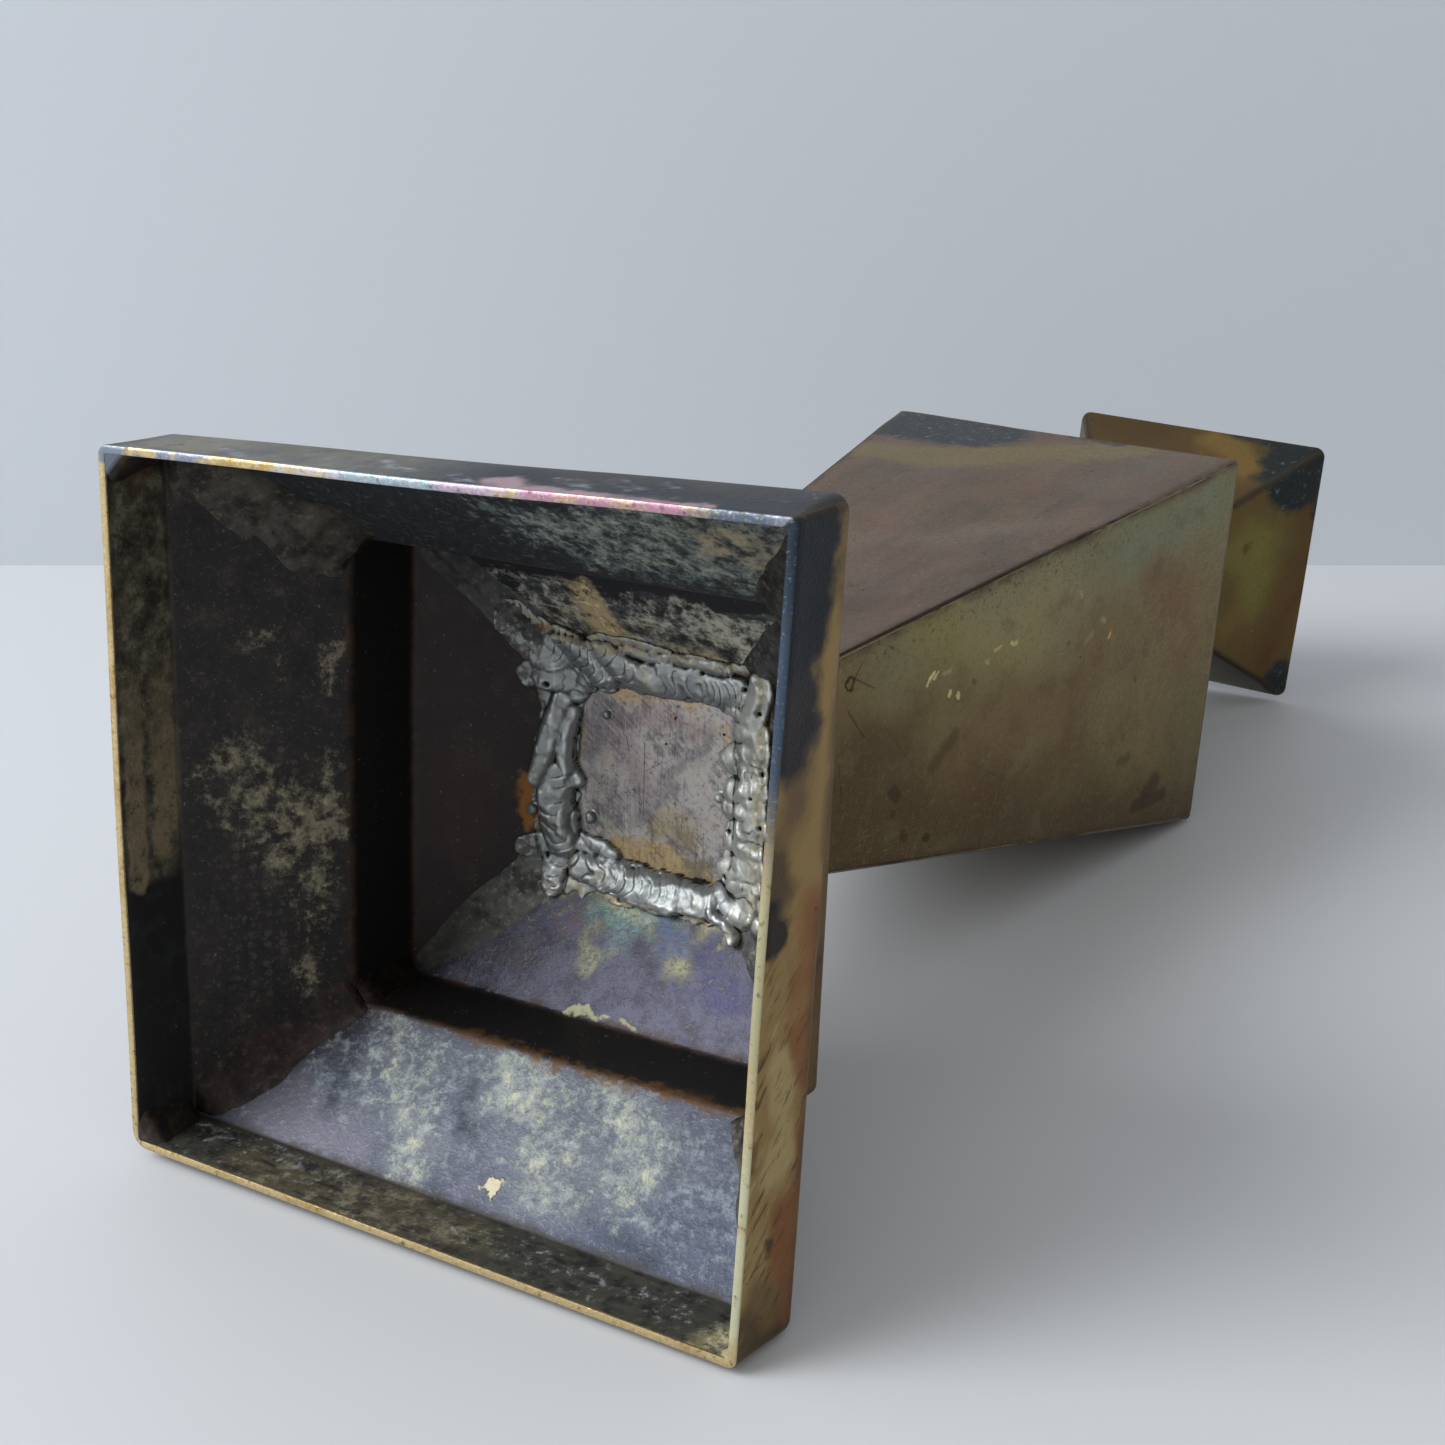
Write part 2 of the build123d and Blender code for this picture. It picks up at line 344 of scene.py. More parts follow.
# the other three storeys take a corner's number too, but round all four alike
def stem_corner(z, corner=0):
    return 1.0 + 0.8 * smooth(STEM_TOP - 14, STEM_TOP, z)


def shoulder_corner(z, corner=0):
    return 1.2


def cup_corner(z, corner=0):
    return 0.9 + 1.4 * smooth(CUP_TOP - 12, CUP_TOP, z)


# ---- beads along the seams ---------------------------------------------------------------------

BEAD_AROUND = 12
RIDGE_STEP = 0.7
LOOP_ARC_STEP = 9  # degrees


def bead_along(path, across, out, width, height, seed, rough=0.3, closed=False):
    """A bead of filler that follows path, wandering a little in width and height."""
    path = np.array(path, float)
    run = np.r_[0, np.cumsum(np.linalg.norm(np.diff(path, axis=0), axis=1))]
    wander = fractal(path, 6.0, seed)
    swell = 1 + rough * fractal(path, 3.0, seed + 5)
    ends = 1.0 if closed else np.sqrt(np.clip(np.minimum(run, run[-1] - run) / width + 0.03, 0, 1))
    size = (swell * ends)[:, None]
    rows = []
    for a in np.linspace(0, 2 * math.pi, BEAD_AROUND, endpoint=False):
        side = across * (width * size * math.cos(a) + rough / 3 * width * wander[:, None])
        rows.append(path + side + out * height * size * math.sin(a))
    return np.vstack(rows), tube_faces(BEAD_AROUND, len(path), closed=closed)


def ridge_bead(half_at, corner_at, bottom, top, degrees, width, proud, seed):
    """A seam bead along one outer corner of a tapering square tube."""
    z = np.linspace(bottom, top, int((top - bottom) / RIDGE_STEP))
    radius = np.array([corner_at(v) for v in z])
    reach = (half_at(z) - radius) * math.sqrt(2) + radius - 0.5 * proud
    out = np.tile([math.cos(math.radians(degrees)), math.sin(math.radians(degrees)), 0.0], (len(z), 1))
    across = np.c_[-out[:, 1], out[:, 0], out[:, 2]]
    path = out * reach[:, None] + np.c_[0 * z, 0 * z, z]
    return bead_along(path, across, out, width, 1.5 * proud, seed, rough=0.12)


def square_loop(half, radius, z, degrees, step=0.6):
    """A rounded square path with its outward directions."""
    points, outs = [], []
    for quarter in range(4):
        side = np.arange(-(half - radius), half - radius, step)
        straight = np.c_[np.full(len(side), half), side]
        angles = np.radians(np.arange(0, 90, LOOP_ARC_STEP))
        arc = np.c_[half - radius + radius * np.cos(angles), half - radius + radius * np.sin(angles)]
        flat = np.vstack([straight, arc])
        out = np.vstack([np.tile([1.0, 0.0], (len(side), 1)), np.c_[np.cos(angles), np.sin(angles)]])
        a = math.radians(90 * quarter + degrees)
        turn = np.array([[math.cos(a), math.sin(a)], [-math.sin(a), math.cos(a)]])
        points.append(flat @ turn)
        outs.append(out @ turn)
    points, outs = np.vstack(points), np.vstack(outs)
    lift = np.zeros((len(points), 1))
    return np.hstack([points, lift + z]), np.hstack([outs, lift])


def ring_bead(half, radius, z, degrees, width, height, tilt, seed, rough=0.3):
    """A bead round a square joint; tilt is the angle of its crown above level."""
    path, level = square_loop(half, radius, z, degrees)
    up = np.tile([0.0, 0.0, 1.0], (len(path), 1))
    c, s = math.cos(math.radians(tilt)), math.sin(math.radians(tilt))
    return bead_along(path, up * c - level * s, level * c + up * s, width, height, seed, rough, closed=True)


# ---- brazed inside corners ---------------------------------------------------------------------

FILLET_ACROSS = 18
FILLET_STEP = 0.45
LUMP_SIZE = 5.5
WANDER_SIZE = 9.0
BURIED = 0.45


def corner_fillet(degrees, low, high, legs, bulge, rough, seed, plates=0.0, pitch=1.0):
    """Filler in an inside corner from low to high, both (half width, z); plates gives overlapping scales."""
    low, high = np.array(low, float), np.array(high, float)
    length = math.hypot((high - low)[0] * math.sqrt(2), (high - low)[1])
    s = np.linspace(0, 1, max(8, int(length / FILLET_STEP)))
    half = (low[0] + (high[0] - low[0]) * s)[:, None]
    z = (low[1] + (high[1] - low[1]) * s)[:, None]
    t = np.linspace(-1, 1, FILLET_ACROSS)[None, :]
    spots = np.stack(np.broadcast_arrays(half, half * t / 2, z), -1).reshape(-1, 3)
    wild = fractal(spots, LUMP_SIZE, seed, 4).reshape(len(s), -1)
    wide = fractal(np.c_[0 * s, 0 * s, s * length], WANDER_SIZE, seed + 20)[:, None]
    leg = (legs[0] + (legs[1] - legs[0]) * s)[:, None] * (1 + 0.2 * wide)
    ends = np.sqrt(np.clip(np.minimum(s, 1 - s)[:, None] * length / 1.6 + 0.1, 0, 1))
    leg = leg * (0.35 + 0.65 * ends)
    phase = (s * length)[:, None] / pitch - 0.9 * np.sqrt(1 - 0.96 * t * t) + 0.5 * wild
    scale = np.abs(np.sin(math.pi * phase)) ** 0.6 - 0.6
    lift = (bulge + rough * wild + plates * scale) * (1 - t**4) * ends
    inward = np.array([-1.0, -1.0]) / math.sqrt(2)
    x = half - leg * (1 - t) / 2 + lift * inward[0]
    y = half - leg * (1 + t) / 2 + lift * inward[1]
    back = half + BURIED
    rows = [np.hstack([x[:, [k]] + (BURIED if k == FILLET_ACROSS - 1 else 0),
                       y[:, [k]] + (BURIED if k == 0 else 0), z]) for k in range(FILLET_ACROSS)]
    rows.append(np.hstack([back, back, z]))
    return turned(np.vstack(rows), degrees - 45), tube_faces(len(rows), len(s))


# ---- the weld round the floor plate --------------------------------------------------------------

WELD_STEP = 0.2
WELD_REACH = 24.0
EYE_CENTRE = (0.7, 0.9)
EYE_HALF = (13.7, 13.0)
EYE_CORNER = 5.2
TOE_HALF = 19.3
TOE_CORNER = 3.0
TOE_FADE = 1.2  # width over which the filler thins out at its edges
POOL_THICK = 0.35
RUN_POINTS = 60
PIT_DEPTH = 0.9
POOL_SHARPNESS = 0.6  # how tightly the filler follows the corner under it

# weld runs, in plan: points, width, height, ripple depth, ripple pitch, curl of the ripples
WELD_RUNS = (
    # left side, from the top corner down
    (((-19.5, -13.0), (-16.0, -12.2), (-12.0, -12.6)), 4.4, 0.9, 0.35, 1.7, 0.9),
    (((-13.0, -10.4), (-11.6, -12.6), (-10.6, -13.6)), 3.2, 1.3, 0.38, 1.5, 1.0),
    (((-13.7, -7.6), (-14.6, -3.5), (-14.7, 0.0), (-13.1, 2.8)), 2.5, 1.5, 0.22, 3.2, 0.6),
    (((-14.9, -9.4), (-16.1, -5.5), (-17.3, -1.0), (-18.2, 2.6)), 3.5, 2.0, 0.22, 4.1, 0.8),
    (((-15.6, 2.2), (-15.8, 6.0), (-15.4, 9.0), (-14.6, 12.6)), 5.0, 2.2, 0.60, 1.9, 1.1),
    (((-20.0, 13.6), (-17.0, 13.2), (-14.5, 14.2)), 3.6, 0.9, 0.38, 1.6, 0.9),
    (((-14.9, 14.0), (-15.6, 16.5), (-15.3, 18.8)), 4.0, 1.8, 0.49, 1.8, 1.0),
    # bottom side, left to right
    (((-13.2, 12.0), (-10.0, 12.2), (-6.6, 13.1)), 3.0, 1.3, 0.24, 3.0, 0.7),
    (((-11.6, 15.3), (-8.5, 15.4), (-5.3, 15.8)), 4.6, 1.7, 0.54, 2.0, 1.2),
    (((-6.2, 15.6), (-1.0, 16.2), (4.6, 16.4)), 6.0, 2.1, 0.60, 1.45, 1.25),
    (((4.6, 16.0), (8.0, 16.2), (11.3, 16.4)), 5.0, 1.9, 0.54, 1.35, 1.2),
    # lower right corner
    (((12.0, 14.6), (15.4, 16.6), (19.2, 17.4)), 3.4, 1.6, 0.35, 1.9, 0.8),
    (((11.2, 14.8), (12.4, 17.2), (14.6, 18.3), (16.2, 20.0)), 2.1, 2.2, 0.24, 1.6, 0.9),
    # right side, from the bottom up
    (((17.2, 16.0), (16.9, 11.0), (16.6, 6.5)), 6.2, 1.5, 0.50, 2.1, 0.8),
    (((17.0, 9.0), (17.4, 4.0), (17.3, -1.0)), 5.8, 1.6, 0.50, 1.8, 0.75),
    (((17.4, 1.0), (17.3, -4.0), (17.2, -9.0)), 6.0, 1.5, 0.50, 2.0, 0.8),
    (((13.2, 0.4), (13.4, 1.6)), 1.9, 1.5, 0.22, 2.0, 0.5),
    (((13.5, 7.6), (12.9, 9.0)), 1.8, 1.3, 0.22, 2.0, 0.5),
    # upper right corner and the top side, right to left
    (((17.4, -8.6), (17.0, -12.6), (18.8, -16.4)), 5.4, 1.7, 0.60, 1.7, 0.9),
    (((11.4, -12.9), (14.4, -12.2), (16.2, -12.0)), 2.6, 1.3, 0.32, 1.6, 0.9),
    (((8.0, -14.9), (11.0, -14.7), (14.4, -15.2)), 5.0, 1.8, 0.60, 1.25, 1.25),
    (((9.6, -14.9), (6.4, -15.3), (2.8, -15.3)), 5.0, 1.7, 0.46, 2.4, 1.2),
    (((-8.6, -17.8), (-4.5, -15.8), (0.2, -14.6), (4.0, -14.4)), 4.8, 1.7, 0.43, 1.9, 1.1),
    (((-7.4, -19.0), (-2.0, -19.0), (3.2, -18.4)), 3.2, 0.8, 0.36, 1.6, 0.8),
    (((3.0, -18.2), (8.0, -18.3), (12.6, -18.0)), 2.8, 0.7, 0.40, 1.3, 0.8),
    (((-14.6, -18.6), (-11.4, -16.8), (-8.2, -13.6)), 4.6, 1.8, 0.51, 1.5, 1.1),
    # the fan of filler up the front left corner
    (((-22.6, -22.8), (-19.4, -19.6), (-16.2, -15.8)), 6.4, 1.4, 0.54, 1.5, 1.3),
    (((-24.0, -21.0), (-21.2, -18.8), (-18.6, -15.2)), 3.6, 1.2, 0.43, 1.4, 1.1),
)
# the right side's short lapped scales: y, how far in each one reaches, width, height, slant
RIGHT_SCALES = (
    (-9.8, 13.4, 3.6, 1.7, 0.5), (-6.9, 12.3, 4.6, 1.9, 1.5), (-3.9, 13.4, 3.0, 1.7, -0.4),
    (-1.7, 12.7, 4.0, 2.0, 1.1), (1.3, 12.1, 3.4, 1.8, 0.5), (4.1, 13.3, 4.4, 1.7, 1.7),
    (7.0, 12.7, 3.2, 1.9, -0.3), (9.7, 12.1, 4.4, 1.8, 1.3), (12.4, 13.5, 3.0, 1.6, 0.4),
)
WELD_RUNS += tuple((((19.0, y - slant / 2), (16.2, y), (inner + 1.1, y + slant)), width, height,
                    0.3, 1.9, 0.8) for y, inner, width, height, slant in RIGHT_SCALES)
# small pits left by gas, in plan: x, y, radius
WELD_PITS = (
    (-3.8, 18.8, 0.45), (-0.9, 19.6, 0.5), (5.8, 19.0, 0.4), (6.7, 18.7, 0.35), (11.2, 18.6, 0.5),
    (18.6, -13.2, 0.5), (19.4, -4.6, 0.5), (17.8, -0.9, 0.35), (13.3, 5.2, 0.5), (13.2, 12.0, 0.5),
    (19.6, 3.0, 0.4), (15.8, -16.0, 0.4), (8.9, -17.2, 0.35), (-17.4, -11.4, 0.45), (-16.8, 14.6, 0.4),
)


def curve_through(points, count):
    """A smooth open curve through a few given points."""
    points = np.array(points, float)
    knots = np.vstack([2 * points[0] - points[1], points, 2 * points[-1] - points[-2]])
    at = np.linspace(0, len(points) - 1 - 1e-9, count)
    i, t = at.astype(int), (at % 1)[:, None]
    a, b, c, d = knots[i], knots[i + 1], knots[i + 2], knots[i + 3]
    return 0.5 * (2 * b + (c - a) * t + (2 * a - 5 * b + 4 * c - d) * t**2 + (3 * b - a - 3 * c + d) * t**3)


def weld_run(plan, noise, points, width, height, ripple, pitch, curl):
    """Thickness of one run: scales like fingernails, each lapped by the next."""
    line = curve_through(points, RUN_POINTS)
    run = np.r_[0, np.cumsum(np.linalg.norm(np.diff(line, axis=0), axis=1))]
    near = np.linalg.norm(plan - line.mean(0), axis=1) < run[-1] / 2 + width
    spot = plan[near]
    gap = np.linalg.norm(spot[:, None] - line[None], axis=2)
    closest = gap.argmin(1)
    tangent = np.gradient(line, axis=0)
    tangent /= np.linalg.norm(tangent, axis=1)[:, None]
    ahead = ((spot - line[closest]) * tangent[closest]).sum(1)
    side = gap.min(1) / (width / 2) * (1 + 0.22 * noise["edge"][near])
    arch = np.sqrt(np.clip(1 - side**2, 0, 1))
    phase = (run[closest] + ahead + curl * width / 2 * (1 - arch)) / pitch + 0.9 * noise["slow"][near]
    lap = phase % 1.0
    valley = 0.62 * (1 - smooth(0.0, 0.2, lap)) + 0.5 * lap * smooth(0.0, 0.35, lap)
    depth = ripple * np.clip(0.75 + 0.9 * noise["deep"][near], 0.15, 1.4)
    tail = 0.75 + 0.25 * smooth(0, width, run[closest] + ahead)
    thick, crease = np.zeros(len(plan)), np.zeros(len(plan))
    thick[near] = arch**0.8 * tail * height * (1 + 0.18 * noise["slow"][near]) - depth * valley * arch**0.5
    thick[near] *= side < 1
    sharp = np.clip(1 - np.minimum(lap, 1 - lap) / 0.12, 0, 1) * np.clip(2.4 * depth, 0, 1)
    crease[near] = np.maximum(sharp, smooth(0.86, 1.0, side)) * (side < 1)
    return thick, crease


def rounded_box(plan, centre, half, corner):
    """Signed distance to a rounded rectangle, negative inside."""
    q = np.abs(plan - np.array(centre)) - np.array(half) + corner
    return np.linalg.norm(np.maximum(q, 0), axis=1) + np.minimum(q.max(1), 0) - corner


def weld_thickness(plan):
    """Filler over the joint between floor plate and upper slope, and where its creases run."""
    flat = np.c_[plan, np.zeros(len(plan))]
    noise = {"edge": fractal(flat, 2.6, 61), "slow": fractal(flat, 4.0, 71), "fine": fractal(flat, 0.9, 81),
             "deep": value_noise(flat, 4.5, 95)}
    reach = np.maximum(np.abs(plan[:, 0]), np.abs(plan[:, 1]))
    slope = INNER_RISER_TOP + UPPER_SLOPE * (INNER_RISER - reach)
    k = POOL_SHARPNESS
    pool = foot_roof(plan[:, 0], plan[:, 1]) + np.log(np.exp(-k * NECK_Z) + np.exp(-k * slope)) / k
    past_eye = rounded_box(plan, EYE_CENTRE, EYE_HALF, EYE_CORNER) + 0.9 * noise["edge"]
    inside_toe = -rounded_box(plan, (0, 0), (TOE_HALF, TOE_HALF), TOE_CORNER) + 1.1 * noise["edge"]
    edge = np.minimum(past_eye, inside_toe)
    thick = (pool + POOL_THICK + 0.3 * noise["slow"]) * np.sqrt(np.clip(edge / TOE_FADE, 0, 1))
    crown, crease = np.zeros(len(plan)), np.zeros(len(plan))
    for run in WELD_RUNS:
        lift, line = weld_run(plan, noise, *run)
        crease = np.where(lift > crown, line, crease)
        crown = np.maximum(crown, lift)
    thick = thick + crown + 0.05 * noise["fine"] * (crown > 0)
    for x, y, radius in WELD_PITS:
        gap = np.linalg.norm(plan - (x, y), axis=1) / (radius * (1 + 0.3 * noise["edge"]))
        thick = thick - PIT_DEPTH * np.clip(1 - gap**2, 0, 1) * (thick > 0)
    return thick, crease


def blurred(grid, cells):
    """A square array averaged over about cells each way."""
    for axis in (0, 1):
        padded = np.concatenate([np.repeat(grid.take([0], axis), cells, axis), grid,
                                 np.repeat(grid.take([-1], axis), cells, axis)], axis)
        sums = np.cumsum(padded, axis)
        window = 2 * cells
        grid = (sums.take(range(window, sums.shape[axis]), axis)
                - sums.take(range(0, sums.shape[axis] - window), axis)) / window
    return grid


THINNEST = 0.03  # thinner filler than this is left out
BLUR_CELLS = 4
HOLLOW_DEPTH = 0.5  # a dip this far below its surroundings counts as fully hollow
WELD_SHARP = math.radians(75)


def outline_edges(quads):
    """The edges that only one of the quads has, in that quad's direction."""
    edges = {}
    for quad in quads:
        for a, b in zip(quad, quad[1:] + quad[:1]):
            if (b, a) in edges:
                del edges[(b, a)]
            else:
                edges[(a, b)] = True
    return list(edges)


def weld_ring(material):
    """The rippled bead as one closed mesh over a plan grid, sunk a little into the sheet."""
    count = int(2 * WELD_REACH / WELD_STEP) + 1
    side = np.linspace(-WELD_REACH, WELD_REACH, count)
    x, y = np.meshgrid(side, side, indexing="ij")
    plan = np.c_[x.ravel(), y.ravel()]
    thick, crease = weld_thickness(plan)
    roof = foot_roof(plan[:, 0], plan[:, 1])
    top = roof - thick
    hollow = (blurred(thick.reshape(count, count), BLUR_CELLS).ravel() - thick) / HOLLOW_DEPTH
    filled = (thick > THINNEST).reshape(count, count)
    cells = filled[:-1, :-1] & filled[1:, :-1] & filled[:-1, 1:] & filled[1:, 1:]
    index = np.arange(count * count).reshape(count, count)
    quads = np.stack([index[:-1, :-1], index[1:, :-1], index[1:, 1:], index[:-1, 1:]], -1)[cells]
    total = count * count
    points = np.vstack([np.c_[plan, top], np.c_[plan, roof + BURIED]])
    faces = [quad[::-1] for quad in quads.tolist()] + [[v + total for v in quad] for quad in quads.tolist()]
    faces += [[a, b, b + total, a + total] for a, b in outline_edges(quads.tolist())]
    used = np.unique(np.concatenate([quads.ravel(), quads.ravel() + total]))
    renumber = np.full(2 * total, -1)
    renumber[used] = np.arange(len(used))
    faces = [[int(renumber[v]) for v in face] for face in faces]
    values = {name: np.r_[np.clip(field, -1, 1), np.zeros(total)][used]
              for name, field in (("hollow", hollow), ("crease", crease))}
    make_piece("floor_weld_ring", points[used], faces, [f"floor_weld_{s}" for s in SIDES], "weld",
               [material], sharp=WELD_SHARP, values=values)


# beads of spatter: x, y, z of the surface under them, radius
SPATTER = (
    (11.2, 0.9, 55.0, 0.85), (-8.2, -8.0, 55.0, 0.75), (-10.6, 8.0, 55.0, 1.0), (-19.3, 7.9, 52.6, 0.95),
)
# a drop from its crown to its foot, in radii: reach, height
SPATTER_PROFILE = ((0.02, 1.42), (0.35, 1.36), (0.68, 1.16), (0.9, 0.86), (0.96, 0.55), (0.86, 0.28),
                   (0.8, 0.14), (0.95, 0.03), (1.2, -0.02), (1.2, -0.25), (0.02, -0.25))
SPATTER_AROUND = 20
SPATTER_UNEVEN = 0.12

PLATE_MARGIN = 2.0  # hidden under the weld
PLATE_CORNER = 3.0
PLATE_EDGE = 0.3
PLATE_BEVEL = 1.9  # keeps the plate's upper edge under the slope
PLATE_LOOPS = 14
PLATE_STEPS = 16  # along half a side


def floor_plate(material):
    """The plate that closes the stem, with softened edges; the weld hides its margin."""
    half = EYE_HALF[0] + PLATE_MARGIN
    top = half - PLATE_BEVEL
    thick = PLATE_TOP - NECK_Z
    sizes = np.linspace(0.6, half - PLATE_EDGE, PLATE_LOOPS)
    section = [(size, 0.0) for size in sizes]
    section += [(half, PLATE_EDGE), (top + 0.2, thick - PLATE_EDGE)]
    section += [(size * top / half, thick) for size in sizes[::-1]]
    loops = [square_loop(size, PLATE_CORNER * size / half, NECK_Z + z, 0, step=size / PLATE_STEPS)[0]
             for size, z in section]
    count = min(len(loop) for loop in loops)
    loops = [loop[np.linspace(0, len(loop) - 1, count).astype(int)] for loop in loops]
    points = np.stack(loops, 1).reshape(-1, 3) + (*EYE_CENTRE, 0)
    make_piece("stem_floor", points, tube_faces(count, len(loops)), ["stem_floor_plate"], "patinated_sheet",
               [material])


def spatter_bead(x, y, z, radius, seed):
    """A frozen drop: a squashed ball on a small spread foot, seen from below."""
    a = np.linspace(0, 2 * math.pi, SPATTER_AROUND, endpoint=False)
    rows = []
    for reach, lift in SPATTER_PROFILE:
        rows.append(np.c_[radius * reach * np.cos(a), radius * reach * np.sin(a), -radius * lift + 0 * a])
    points = np.vstack(rows)
    points *= 1 + SPATTER_UNEVEN * value_noise(points + seed * 7.0, radius, seed)[:, None]
    grid = points.reshape(len(rows), SPATTER_AROUND, 3).transpose(1, 0, 2).reshape(-1, 3)
    return grid + (x, y, z), tube_faces(SPATTER_AROUND, len(rows))


# ---- node materials ----------------------------------------------------------------------------

def tone(red, green, blue):
    """A colour given as 0 to 255 on the sRGB scale, in linear light."""
    return tuple(((v / 255 + 0.055) / 1.055) ** 2.4 if v > 10 else v / 3295 for v in (red, green, blue))


def line_mask_group():
    """Node group: 1 near the line from Start to End, fading to 0 at Reach."""
    group = bpy.data.node_groups.new("near_line", "ShaderNodeTree")
    for name, kind in (("At", "Vector"), ("Start", "Vector"), ("End", "Vector"), ("Reach", "Float"),
                       ("Core", "Float")):
        group.interface.new_socket(name, in_out="INPUT", socket_type=f"NodeSocket{kind}")
    group.interface.new_socket("Mask", in_out="OUTPUT", socket_type="NodeSocketFloat")
    nodes, links = group.nodes, group.links
    given = nodes.new("NodeGroupInput").outputs

    def vector(operation, *values):
        node = nodes.new("ShaderNodeVectorMath")
        node.operation = operation
        for socket, value in zip(node.inputs, values):
            links.new(value, socket)
        return node.outputs["Value" if operation in ("DOT_PRODUCT", "LENGTH") else "Vector"]

    along = vector("SUBTRACT", given["End"], given["Start"])
    from_start = vector("SUBTRACT", given["At"], given["Start"])
    part = nodes.new("ShaderNodeMath")
    part.operation, part.use_clamp = "DIVIDE", True
    links.new(vector("DOT_PRODUCT", from_start, along), part.inputs[0])
    links.new(vector("DOT_PRODUCT", along, along), part.inputs[1])
    scaled = nodes.new("ShaderNodeVectorMath")
    scaled.operation = "SCALE"
    links.new(along, scaled.inputs[0])
    links.new(part.outputs[0], scaled.inputs["Scale"])
    gap = vector("LENGTH", vector("SUBTRACT", from_start, scaled.outputs["Vector"]))
    fade = nodes.new("ShaderNodeMapRange")
    fade.interpolation_type = "SMOOTHSTEP"
    links.new(gap, fade.inputs["Value"])
    links.new(given["Reach"], fade.inputs["From Min"])
    links.new(given["Core"], fade.inputs["From Max"])
    links.new(fade.outputs["Result"], nodes.new("NodeGroupOutput").inputs["Mask"])
    return group


NEAR_LINE = line_mask_group()


class Field:
    """A number worked out on the surface; arithmetic on it adds Math nodes."""

    def __init__(self, look, socket):
        self.look, self.socket = look, socket

    def op(self, operation, other=0.0):
        node = self.look.add("ShaderNodeMath", operation=operation)
        self.look.feed(node.inputs[0], self)
        self.look.feed(node.inputs[1], other)
        return Field(self.look, node.outputs[0])

    def __add__(self, other):
        return self.op("ADD", other)

    def __sub__(self, other):
        return self.op("SUBTRACT", other)

    def __mul__(self, other):
        return self.op("MULTIPLY", other)

    def most(self, other):
        return self.op("MAXIMUM", other)

    def least(self, other):
        return self.op("MINIMUM", other)

    def size(self):
        return self.op("ABSOLUTE")

    def ramp(self, low, high):
        """0 at low, 1 at high, eased between them; low may be the larger."""
        node = self.look.add("ShaderNodeMapRange", interpolation_type="SMOOTHSTEP")
        self.look.feed(node.inputs["Value"], self)
        node.inputs["From Min"].default_value = low
        node.inputs["From Max"].default_value = high
        return Field(self.look, node.outputs["Result"])

    def flip(self):
        return self.op("MULTIPLY", -1.0) + 1.0


